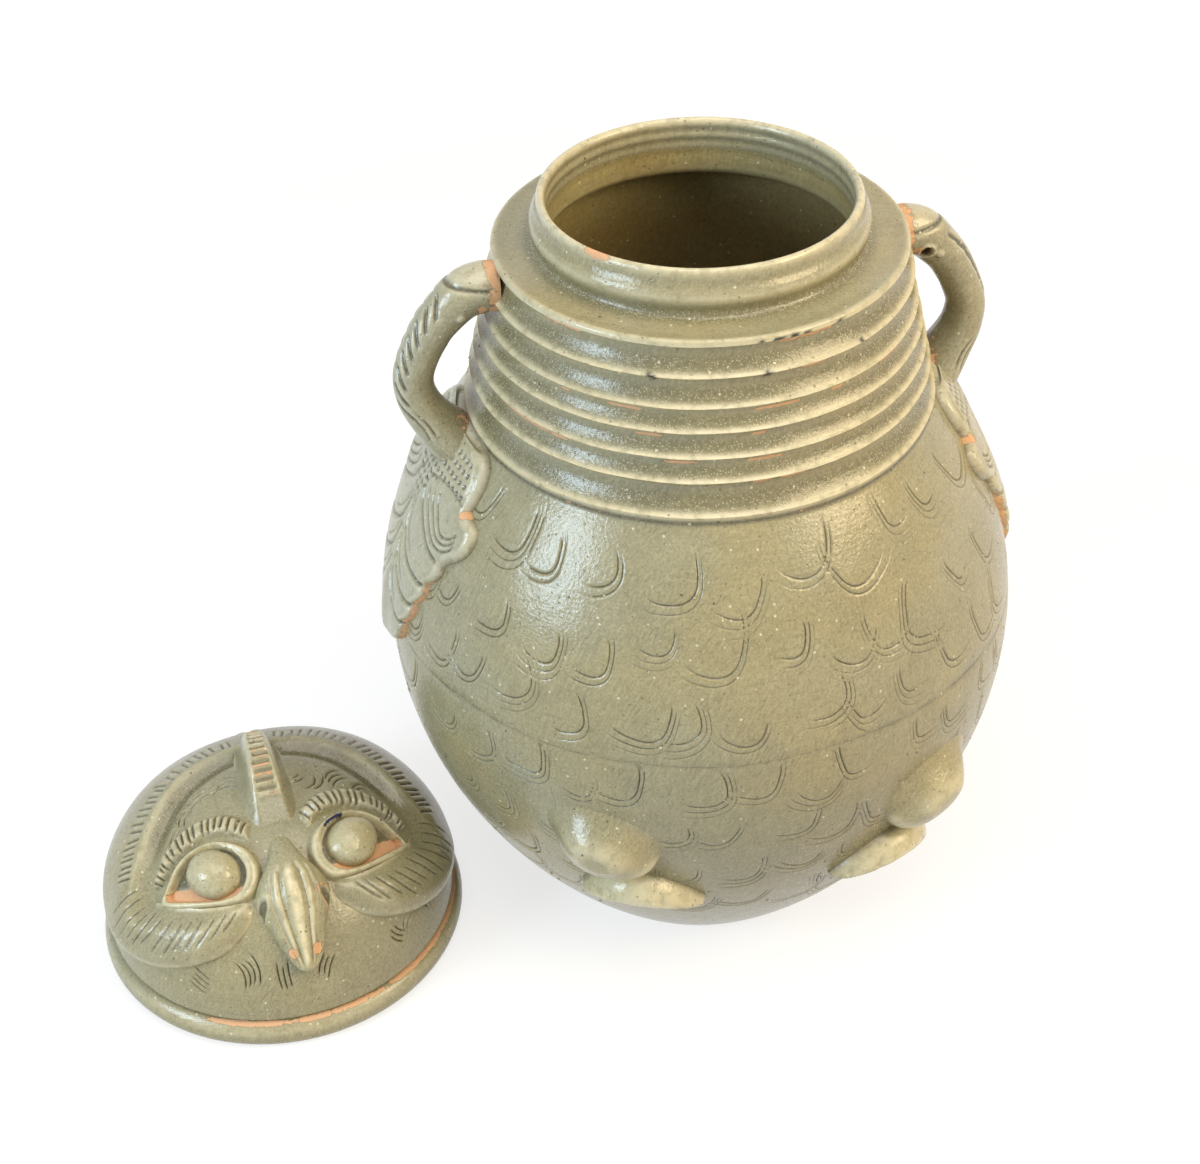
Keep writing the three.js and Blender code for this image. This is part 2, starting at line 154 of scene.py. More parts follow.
def direction(line: Array) -> Array:
    """Direction of a line at each of its points, with a length of 1."""
    along = np.gradient(line, axis=0)
    return along / np.linalg.norm(along, axis=1)[:, None]


def lattice(points: Array, size: float, seed: int) -> Array:
    """Smooth random values over space.

    Args:
        points: places in millimetres, three columns.
        size: size of the features in millimetres.
        seed: which field of values.

    Returns:
        A value from -1 to 1 for each place.
    """
    scaled = points / size + 37.0
    cell = np.floor(scaled).astype(np.int64)
    part = scaled - cell
    part = part * part * (3.0 - 2.0 * part)
    total = np.zeros(len(points))
    for corner in range(8):
        step = np.array([corner & 1, corner >> 1 & 1, corner >> 2 & 1])
        x, y, z = ((cell + step) * CELL_PRIMES).T
        key = x ^ y ^ z ^ (seed + 1) * SEED_PRIME
        key = (key ^ key >> 13) * STIR_PRIME
        value = ((key ^ key >> 16) & 0xFFFF) / 32767.5 - 1.0
        weight = np.prod(np.where(step == 1, part, 1.0 - part), axis=1)
        total += weight * value
    return total


def rough(points: Array, size: float, seed: int, layers: int = 3) -> Array:
    """Random values of about -1 to 1 at places, in layers that each have half the size of the last."""
    total = sum(lattice(points, size / 2**k, seed + k) / 2**k for k in range(layers))
    return total / (2.0 - 0.5 ** (layers - 1))


@dataclass
class Surface:
    """A mesh in the making, in millimetres.

    Attributes:
        points: places, three columns.
        faces: corners of each face, as indices into points.
        tones: values of each point for the glaze.
        inner: for each face, whether it is on the inside of a hollow.
    """

    points: Array
    faces: list[tuple[int, ...]]
    tones: dict[Tone, Array] = field(default_factory=dict)
    inner: list[bool] = field(default_factory=list)

    def tone(self, tone: Tone) -> Array:
        """Values of one tone, zero where none were set."""
        return self.tones.get(tone, np.zeros(len(self.points)))

    def joined(self, other: "Surface") -> "Surface":
        """Puts another surface beside this one.

        Args:
            other: the other surface.

        Returns:
            Both as one surface.
        """
        shift = len(self.points)
        faces = self.faces + [tuple(corner + shift for corner in face) for face in other.faces]
        tones = {tone: np.concatenate([self.tone(tone), other.tone(tone)]) for tone in Tone}
        mine = self.inner or [False] * len(self.faces)
        theirs = other.inner or [False] * len(other.faces)
        return Surface(np.vstack([self.points, other.points]), faces, tones, mine + theirs)


@dataclass
class Piece:
    """One finished piece of clay.

    Attributes:
        node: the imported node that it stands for.
        body: the body that it rides on.
        materials: the glaze outside and, where it has a hollow, the glaze inside.
        passes: how many times the mesh is smoothed to tell what stands proud of it.
        run_off: how far in millimetres a point stands proud where the glaze is thinnest.
    """

    node: str
    body: str
    materials: list[bpy.types.Material]
    passes: int = 14
    run_off: float = 0.4

    def proud(self, mesh: bpy.types.Mesh) -> Array:
        """How far each point stands out from the smoothed mesh, in millimetres.

        Args:
            mesh: the mesh.

        Returns:
            The distance at each point, below 0 in hollows.
        """
        count = len(mesh.vertices)
        points, normals = np.empty(3 * count), np.empty(3 * count)
        mesh.vertices.foreach_get("co", points)
        mesh.vertex_normals.foreach_get("vector", normals)
        ends = np.empty(2 * len(mesh.edges), np.int32)
        mesh.edges.foreach_get("vertices", ends)
        start, end = ends.reshape(-1, 2).T
        points = points.reshape(-1, 3) / MM
        degree = np.maximum(np.bincount(start, minlength=count) + np.bincount(end, minlength=count), 1)
        smooth = points
        for _ in range(self.passes):
            total = np.column_stack([
                np.bincount(start, smooth[end, k], count) + np.bincount(end, smooth[start, k], count)
                for k in range(3)
            ])
            smooth = 0.5 * smooth + 0.5 * total / degree[:, None]
        return ((points - smooth) * normals.reshape(-1, 3)).sum(1)

    def flow(self, mesh: bpy.types.Mesh) -> None:
        """Thins the glaze over what stands proud and pools it in hollows.

        Args:
            mesh: the mesh.
        """
        proud = self.proud(mesh)
        for tone, share in ((Tone.THIN, proud), (Tone.POOL, -proud)):
            layer = mesh.attributes[tone.value]
            value = np.empty(len(proud), np.float32)
            layer.data.foreach_get("value", value)
            more = 0.62 * ramp(0.12 * self.run_off, self.run_off, share)
            layer.data.foreach_set("value", np.maximum(value, more).astype(np.float32))

    def build(self, surface: Surface) -> bpy.types.Object:
        """Makes the object of a closed surface.

        Args:
            surface: its mesh, in millimetres in the row frame.

        Returns:
            The object.
        """
        name = f"{self.node}_clay"
        mesh = bpy.data.meshes.new(name)
        mesh.from_pydata((surface.points * MM).tolist(), [], surface.faces)
        for tone in Tone:
            layer = mesh.attributes.new(tone.value, "FLOAT", "POINT")
            layer.data.foreach_set("value", np.clip(surface.tone(tone), 0, 1).astype(np.float32))
        if surface.inner:
            mesh.polygons.foreach_set("material_index", [int(inside) for inside in surface.inner])
        work = bmesh.new()
        work.from_mesh(mesh)
        bmesh.ops.remove_doubles(work, verts=work.verts, dist=2e-6)
        bmesh.ops.dissolve_degenerate(work, dist=1e-6, edges=work.edges)
        bmesh.ops.recalc_face_normals(work, faces=work.faces)
        open_edges = sum(1 for edge in work.edges if not edge.is_manifold)
        work.to_mesh(mesh)
        work.free()
        self.flow(mesh)
        mesh.polygons.foreach_set("use_smooth", [True] * len(mesh.polygons))
        mesh.set_sharp_from_angle(angle=math.radians(SHARP_DEGREES))
        for material in self.materials:
            mesh.materials.append(material)
        made = bpy.data.objects.new(name, mesh)
        bpy.context.scene.collection.objects.link(made)
        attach(made, self.body)
        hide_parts(self.node)
        triangles = sum(len(face.vertices) - 2 for face in mesh.polygons)
        log.info("%s: %d triangles, %d open edges", name, triangles, open_edges)
        return made


def ring_faces(rings: int, around: int) -> list[tuple[int, ...]]:
    """Four-cornered faces between closed rings, each of as many points."""
    return [(row + k, row + (k + 1) % around, row + around + (k + 1) % around, row + around + k)
            for row in range(0, (rings - 1) * around, around) for k in range(around)]


def capped(surface: Surface, around: int) -> Surface:
    """Closes both ends of a stack of rings with a fan.

    Args:
        surface: the rings.
        around: points in each ring.

    Returns:
        The closed surface.
    """
    count = len(surface.points)
    first, last = surface.points[:around], surface.points[-around:]
    points = np.vstack([surface.points, first.mean(0), last.mean(0)])
    faces = list(surface.faces)
    for k in range(around):
        following = (k + 1) % around
        faces.append((count, following, k))
        faces.append((count + 1, count - around + k, count - around + following))
    tones = {
        tone: np.append(values, [values[:around].mean(), values[-around:].mean()])
        for tone, values in surface.tones.items()
    }
    return Surface(points, faces, tones)


def spline(knots: list | tuple | Array, count: int, closed: bool = False) -> Array:
    """A smooth line through points, evenly spaced along its length.

    Args:
        knots: the points.
        count: how many points to give back.
        closed: whether the line comes back to its first point.

    Returns:
        The points of the line.
    """
    given = np.array(knots, float)
    if closed:
        padded = np.vstack([given[-1], given, given[:2]])
    else:
        padded = np.vstack([2 * given[0] - given[1], given, 2 * given[-1] - given[-2]])
    fine = []
    steps = np.linspace(0, 1, CURVE_STEPS, endpoint=False)[:, None]
    for a, b, c, d in zip(padded[:-3], padded[1:-2], padded[2:-1], padded[3:]):
        fine.append(
            0.5 * (2 * b + (c - a) * steps + (2 * a - 5 * b + 4 * c - d) * steps**2
                   + (3 * b - a - 3 * c + d) * steps**3)
        )
    line = np.vstack([*fine, given[:1] if closed else given[-1:]])
    lengths = walked(line)
    wanted = np.linspace(0, lengths[-1], count + 1)[:-1] if closed else np.linspace(0, lengths[-1], count)
    return np.column_stack([np.interp(wanted, lengths, line[:, k]) for k in range(line.shape[1])])


def depth_inside(points: Array, outline: Array) -> Array:
    """How deep points lie inside a closed outline.

    Args:
        points: flat places, two columns.
        outline: corners of the outline.

    Returns:
        Distance to the outline, positive inside and negative outside.
    """
    start, end = outline, np.roll(outline, -1, axis=0)
    along = end - start
    square = np.maximum((along**2).sum(1), 1e-12)
    result = np.empty(len(points))
    for low in range(0, len(points), POINTS_AT_ONCE):
        high = low + POINTS_AT_ONCE
        part = points[low:high, None, :]
        share = np.clip(((part - start) * along).sum(2) / square, 0, 1)
        gap = np.sqrt((((part - start) - share[..., None] * along) ** 2).sum(2)).min(1)
        above = (start[:, 1] > part[..., 1]) != (end[:, 1] > part[..., 1])
        rise = np.where(along[:, 1] == 0, 1e-12, along[:, 1])
        cross = start[:, 0] + (part[..., 1] - start[:, 1]) * along[:, 0] / rise
        inside = (above & (part[..., 0] < cross)).sum(1) % 2 == 1
        result[low:high] = np.where(inside, gap, -gap)
    return result


def hex_grid(low: Array, high: Array, spacing: float) -> Array:
    """Evenly spaced points in staggered rows.

    Args:
        low: lowest corner.
        high: highest corner.
        spacing: distance between neighbours.

    Returns:
        The points.
    """
    rows = np.arange(low[1], high[1], spacing * math.sqrt(0.75))
    columns = np.arange(low[0], high[0], spacing)
    grid = [np.column_stack([columns + (spacing / 2 if i % 2 else 0.0), np.full(len(columns), y)])
            for i, y in enumerate(rows)]
    return np.vstack(grid)


def triangulated(points: Array, edges: list[tuple[int, int]]) -> tuple[Array, list, list]:
    """Joins flat points into triangles that keep the edges, and tells the given points that each point is."""
    made, _, faces, origin, _, _ = delaunay_2d_cdt([Vector(p) for p in points], edges, [], 0, 1e-5)
    return np.array([tuple(p) for p in made]), [tuple(f) for f in faces], origin


def line_gap(points: Array, line: Array) -> tuple[Array, Array]:
    """Distance from points to a line, and where along it each is nearest.

    Args:
        points: flat places.
        line: points of the line.

    Returns:
        The distances, and the nearest places as shares of the line's steps.
    """
    start, along = line[:-1], np.diff(line, axis=0)
    square = np.maximum((along**2).sum(1), 1e-12)
    gaps, places = np.empty(len(points)), np.empty(len(points))
    for low in range(0, len(points), POINTS_AT_ONCE):
        high = low + POINTS_AT_ONCE
        part = points[low:high, None, :]
        step = np.clip(((part - start) * along).sum(2) / square, 0, 1)
        gap = np.sqrt((((part - start) - step[..., None] * along) ** 2).sum(2))
        nearest = gap.argmin(1)
        rows = np.arange(len(nearest))
        gaps[low:high] = gap[rows, nearest]
        places[low:high] = (nearest + step[rows, nearest]) / len(along)
    return gaps, places


def grown(outline: Array, by: float) -> Array:
    """Moves a closed outline outwards.

    Args:
        outline: its corners.
        by: how far.

    Returns:
        The wider outline.
    """
    along = np.roll(outline, -1, axis=0) - np.roll(outline, 1, axis=0)
    out = np.column_stack([along[:, 1], -along[:, 0]])
    out /= np.maximum(np.linalg.norm(along, axis=1), 1e-9)[:, None]
    following = np.roll(outline, -1, axis=0)
    area = (outline[:, 0] * following[:, 1] - following[:, 0] * outline[:, 1]).sum()
    return outline + math.copysign(by, area) * out


@dataclass
class Crease:
    """A cut or a ridge drawn along a line on a relief.

    Attributes:
        line: its points, flat.
        half_width: half its width.
        depth: how deep it cuts, or how high it stands if it is below 0.
        fade: share of its length over which each end runs out.
        dark: how dark the glaze pools in it.
    """

    line: Array
    half_width: float = 0.55
    depth: float = 0.7
    fade: float = 0.2
    dark: float = 0.6

    def turned(self, flip: Array) -> "Crease":
        """The same cut with its line multiplied by flip, to mirror it."""
        return replace(self, line=self.line * flip)

    def share(self, points: Array) -> Array:
        """How much of the full cut flat points get.

        Args:
            points: the points.

        Returns:
            A share from 0 to 1 for each.
        """
        reach_out = 3 * self.half_width
        low, high = self.line.min(0) - reach_out, self.line.max(0) + reach_out
        near = np.all((points > low) & (points < high), axis=1)
        result = np.zeros(len(points))
        if not near.any():
            return result
        gap, position = line_gap(points[near], self.line)
        ends = ramp(0, self.fade, position) * ramp(0, self.fade, 1 - position) if self.fade else 1.0
        result[near] = bell(gap, 0, self.half_width) * ends
        return result


@dataclass
class Relief:
    """A raised piece with a free outline on a curved surface.

    Attributes:
        outline: closed outline in flat millimetres.
        form: gives the height at flat points, from the points and how deep inside they lie.
        place: puts flat points and heights into the row frame.
        creases: cuts and ridges on it.
        tones: gives further point values, from the same as form.
        spacing: distance between points.
        hole: outline of an opening in it, if it has one.
        sink: how far its back lies under the surface.
        foot: how dark the glaze pools along its edge.
    """

    outline: Array
    form: FlatRule
    place: FlatRule
    creases: list[Crease] = field(default_factory=list)
    tones: Callable[[Array, Array], dict[Tone, Array]] | None = None
    spacing: float = 0.7
    hole: Array | None = None
    sink: float = 0.8
    foot: float = 0.5

    def depth(self, points: Array) -> Array:
        """How deep points lie inside the outline and outside the hole.

        Args:
            points: flat points.

        Returns:
            The depth of each.
        """
        depth = depth_inside(points, self.outline)
        if self.hole is not None:
            depth = np.minimum(depth, -depth_inside(points, self.hole))
        return depth

    def surface(self) -> Surface:
        """Builds the closed surface.

        Returns:
            The surface in the row frame.
        """
        loops = [self.outline] if self.hole is None else [self.outline, self.hole]
        edges, base = [], 0
        for loop in loops:
            edges += [(base + k, base + (k + 1) % len(loop)) for k in range(len(loop))]
            base += len(loop)
        top_flat, top_faces = self.joined_points(loops, edges, self.spacing)
        back_flat, back_faces = self.joined_points(loops, edges, 6 * self.spacing)
        depth = np.maximum(self.depth(top_flat), 0.0)
        depth[:base] = 0.0
        lift = self.form(top_flat, depth)
        cut, raised = np.zeros(len(top_flat)), np.zeros(len(top_flat))
        for crease in self.creases:
            share = crease.share(top_flat) * ramp(-0.2, 1.0, depth)
            lift = lift - crease.depth * share
            cut = np.maximum(cut, crease.dark * share) if crease.depth > 0 else cut
            raised = np.maximum(raised, share) if crease.depth < 0 else raised
        foot = bell(depth, 0, 0.5)
        tones = {
            Tone.GROOVE: np.maximum(cut, self.foot * foot),
            Tone.THIN: 0.8 * raised * (1 - cut),
        }
        for tone, value in (self.tones(top_flat, depth) if self.tones else {}).items():
            tones[tone] = np.maximum(value, tones.get(tone, 0))
        top = self.place(top_flat, np.maximum(lift, 0.1 - self.sink))
        back = self.place(back_flat, np.full(len(back_flat), -self.sink))
        count = len(top_flat)
        under = [tuple(corner + count for corner in face[::-1]) for face in back_faces]
        skirt = [(a, b, b + count, a + count) for a, b in edges]
        tones = {tone: np.append(value, np.zeros(len(back))) for tone, value in tones.items()}
        return Surface(np.vstack([top, back]), top_faces + under + skirt, tones)

    def joined_points(self, loops: list[Array], edges: list[tuple[int, int]],
                      spacing: float) -> tuple[Array, list[tuple[int, ...]]]:
        """Triangulates the area between the outline and the hole.

        Args:
            loops: the outline and the hole.
            edges: how their points are joined.
            spacing: distance between the points inside.

        Returns:
            Flat points, those of the loops first, and triangles.
        """
        grid = hex_grid(self.outline.min(0), self.outline.max(0), spacing)
        grid = grid[self.depth(grid) > 0.55 * min(spacing, 1.5)]
        flat, faces, _ = triangulated(np.vstack([*loops, grid]), edges)
        corners = np.array(faces)
        kept = corners[self.depth(flat[corners].mean(1)) > 0]
        return flat, [tuple(face) for face in kept.tolist()]


def rounded(depth: Array, thickness: float, edge: float) -> Array:
    """Height of a slab with a rounded edge, at depths inside its outline."""
    share = np.clip(depth / edge, 0.0, 1.0)
    return thickness * np.sqrt(1.0 - (1.0 - share) ** 2)


def swell(depth: Array, thickness: float, edge: float, sunk: float = 0.35) -> Array:
    """Height of a swelling whose soft slope starts under the surface, at depths inside its outline."""
    return (thickness + sunk) * ramp(0, edge, depth) - sunk


@dataclass(frozen=True)
class Comb:
    """A comb of two or three teeth, dragged through the wet clay in hooked strokes.

    Attributes:
        gap: distance between the teeth.
        half_width: half the width of one cut.
        depth: how deep it cuts.
        step: distance between points along a cut.
    """

    gap: float = 2.5
    half_width: float = 0.55
    depth: float = 0.5
    step: float = 1.6

    def stroke(self, rng: np.random.Generator, width: float, hook: float, teeth: int) -> list[Array]:
        """One hooked stroke about the origin: down, round the bottom and up on the other side.

        Args:
            rng: source of the hand's irregularity.
            width: how wide the innermost cut is.
            hook: 1 to start on the right and curl to the left, -1 the other way round.
            teeth: how many teeth cut.

        Returns:
            For each tooth, its points with the share of the full cut as third column.
        """
        lines = []
        lead = rng.uniform(30, 58)
        end = rng.uniform(128, 168) if hook > 0 else rng.uniform(108, 150)
        tall, low = rng.uniform(1.1, 1.7), rng.uniform(0.7, 0.95)
        square = rng.uniform(0.75, 1.0) if hook > 0 else rng.uniform(0.45, 0.8)
        force = rng.uniform(0.8, 1.0)
        for tooth in range(teeth):
            radius = width / 2 + tooth * self.gap
            first = lead - tooth * rng.uniform(4, 12)
            last = end - tooth * rng.uniform(4, 22)
            count = max(7, int(math.radians(first + last) * radius * 1.25 / self.step))
            turn = np.radians(np.linspace(first, -last, count))
            share = np.linspace(0, 1, count)
            strength = ramp(0, 0.1, share) * ramp(0, 0.3, 1 - share) * force * rng.uniform(0.75, 1.0) ** tooth
            up = np.sin(turn)
            lines.append(np.column_stack([
                hook * (radius * np.sign(np.cos(turn)) * np.abs(np.cos(turn)) ** square - 0.9 * tooth),
                radius * np.sign(up) * np.abs(up) ** square * np.where(up > 0, tall, low) - 0.8 * tooth,
                np.maximum(strength * (1 - 0.12 * tooth), 0.07),
            ]))
        return lines


@dataclass(frozen=True)
class CombedSkin:
    """A flat stretch of skin with comb cuts in it, made of triangles that follow the cuts.

    Attributes:
        comb: the comb.
        spacing: distance between points away from the cuts.
        rails: lines of points along each cut, as offset in half widths and share of its depth.
    """

    comb: Comb
    spacing: float = 3.6
    rails: Line = ((-2.3, 0.0), (-1.0, 0.0), (0.0, 1.0), (1.0, 0.0), (2.3, 0.0))

    def build(self, border: Array, edges: list[tuple[int, int]], inside: Rule,
              strokes: list[Array], stretch: Rule) -> tuple:
        """Triangulates the skin.

        Args:
            border: points round the edge, which are kept.
            edges: pairs of border points that are joined.
            inside: tells how deep inside the skin flat points lie.
            strokes: cuts, with the share of the full cut as third column.
            stretch: flat millimetres across for a true millimetre, at flat points.

        Returns:
            Flat points, triangles and for each point the share of the full cut.
        """
        rails, cuts, joins = [], [], []
        base = len(border)
        for line in strokes:
            keep = inside(line[:, :2]) > 2.6 * self.comb.half_width
            for run in np.split(np.arange(len(line)), np.flatnonzero(~keep)):
                run = run[keep[run]]
                if len(run) < max(4, 0.35 * len(line)):
                    continue
                part = line[run]
                scale = stretch(part[:, :2])
                along = np.gradient(part[:, :2], axis=0)
                along[:, 0] /= scale
                across = np.column_stack([-along[:, 1], along[:, 0]])
                across /= np.linalg.norm(across, axis=1)[:, None]
                across *= (self.comb.half_width * (0.45 + 0.55 * part[:, 2]))[:, None]
                across[:, 0] *= scale
                for offset, cut in self.rails:
                    rails.append(part[:, :2] + offset * across)
                    cuts.append(cut * part[:, 2])
                    joins += [(base + k, base + k + 1) for k in range(len(part) - 1)]
                    base += len(part)
        low, high = border.min(0), border.max(0)
        grid = hex_grid(low, high, self.spacing)
        grid = grid[inside(grid) > 0.4 * self.spacing]
        rail = np.vstack(rails)
        tree = KDTree(len(rail))
        for index, (x, y) in enumerate(rail):
            tree.insert((x, y, 0.0), index)
        tree.balance()
        far = [tree.find((x, y, 0.0))[2] > 1.0 for x, y in grid]
        grid = grid[np.array(far)]
        flat, faces, origin = triangulated(np.vstack([border, rail, grid]), edges + joins)
        cut = np.concatenate([np.zeros(len(border)), *cuts, np.zeros(len(grid))])
        depth = np.concatenate(cuts)
        share = np.array([
            max(cut[k] for k in given) if given else depth[tree.find((*place, 0.0))[1]]
            for given, place in zip(origin, flat.tolist())
        ])
        return flat, faces, share


def level(height: float) -> Rule:
    """A height that is the same all round.

    Args:
        height: the height.

    Returns:
        A function that gives it at each azimuth.
    """
    def flat_line(azimuth: Array) -> Array:
        """The height at each azimuth."""
        return np.full(len(azimuth), height)
    return flat_line


def reach(node: str, axis: int) -> float:
    """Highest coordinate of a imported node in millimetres, along X, Y or Z for axis 0, 1 or 2."""
    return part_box(node)[1][axis] / MM


@dataclass
class JarForm:
    """Outside of the thrown jar, which every piece luted on it follows.

    Attributes:
        foot_radius: radius of the flat foot.
        belly_radius: largest radius.
        belly_height: height at which it is reached.
        shoulder_radius: radius where the collar starts.
        collar_base: height where the collar starts.
        seat_height: height of the seat for the lid.
        seam_height: height at which lower and upper half were luted together.
        crests: radius and height of each sharp ring round the collar, lowest first.
        wall: thickness of the wall.
        unevenness: how far the hand-thrown wall strays inwards.
    """

    foot_radius: float = 61.0
    belly_radius: float = reach("jar_lower_body", 0)
    belly_height: float = 127.4
    shoulder_radius: float = 85.1
    collar_base: float = 219.0
    seat_height: float = 283.4
    seam_height: float = reach("jar_lower_body", 2)
    crests: Line = (
        (85.3, 223.2), (82.8, 235.4), (80.8, 243.7), (78.8, 252.4), (76.7, 260.5), (74.9, 270.9),
        (72.7, 281.4),
    )
    wall: float = 6.0
    unevenness: float = 0.7

    def egg(self, height: Array) -> Array:
        """Radius of the body below the collar.

        Args:
            height: heights.

        Returns:
            The radius at each height.
        """
        below = (self.belly_height - height) / self.belly_height
        above = (height - self.belly_height) / (self.collar_base - self.belly_height)
        low = self.belly_radius - (self.belly_radius - self.foot_radius) * below**2
        high = self.belly_radius - (self.belly_radius - self.shoulder_radius) * np.minimum(above, 1) ** 2
        return np.where(height < self.belly_height, low, high)

    def collar(self, height: Array) -> Array:
        """Radius of the collar between its rings, at heights."""
        radii, heights = zip(*self.crests)
        return np.interp(height, heights, radii) - 2.4

    def strayed(self, points: Array) -> Array:
        """Moves points inwards by the unevenness of the thrown wall.

        Args:
            points: places on or near the wall.

        Returns:
            The moved places.
        """
        broad = lattice(points, 75.0, 3)
        small = lattice(points * [1, 1, 1.8], 17.0, 8)
        inward = self.unevenness * (0.5 + 0.42 * broad + 0.08 * small)
        radius = np.maximum(np.hypot(points[:, 0], points[:, 1]), 1e-6)
        return widened(points, np.where(radius > 20, 1 - inward / radius, 1))

    def spot(self, azimuth: Array, height: Array, lift: Array) -> Array:
        """Places points on the body below the collar.

        Args:
            azimuth: degrees round from the owl's front.
            height: heights.
            lift: how far the points stand off the wall, square to it.

        Returns:
            The places.
        """
        slope = self.egg(height + 0.5) - self.egg(height - 0.5)
        tilt = np.hypot(1, slope)
        radius = self.egg(height) + lift / tilt
        turn = np.radians(azimuth)
        up = height - lift * slope / tilt
        return self.strayed(np.column_stack([radius * np.sin(turn), -radius * np.cos(turn), up]))

    def patch(self, azimuth: float) -> FlatRule:
        """Lays flat drawings on the body.

        Args:
            azimuth: where round the body the drawing's middle comes.

        Returns:
            A function that takes arc length round the body and height, with lifts, to places.
        """
        def place(flat: Array, lift: Array) -> Array:
            """Places flat points with their lifts."""
            return self.spot(azimuth + np.degrees(flat[:, 0] / self.egg(flat[:, 1])), flat[:, 1], lift)
        return place

    def seated(self, points: Array, sink: float) -> Array:
        """Keeps points from reaching deeper into the wall than a luted piece does.

        Args:
            points: places of a piece luted on the jar.
            sink: how deep it reaches.

        Returns:
            The places, with deeper ones brought back.
        """
        height = np.clip(points[:, 2], 1, self.seat_height)
        skin = np.where(height < self.collar_base, self.egg(height), self.collar(height)) - sink
        radius = np.hypot(points[:, 0], points[:, 1])
        return widened(points, np.maximum(1, skin / radius))

    def seam(self, azimuth: Array) -> Array:
        """Height of the luting seam, which wanders a little, at azimuths."""
        turn = np.radians(azimuth)
        wander = 0.8 * np.sin(2 * turn + 1) + 0.5 * np.sin(5 * turn) + 0.3 * np.sin(11 * turn)
        return self.seam_height - 0.9 + wander


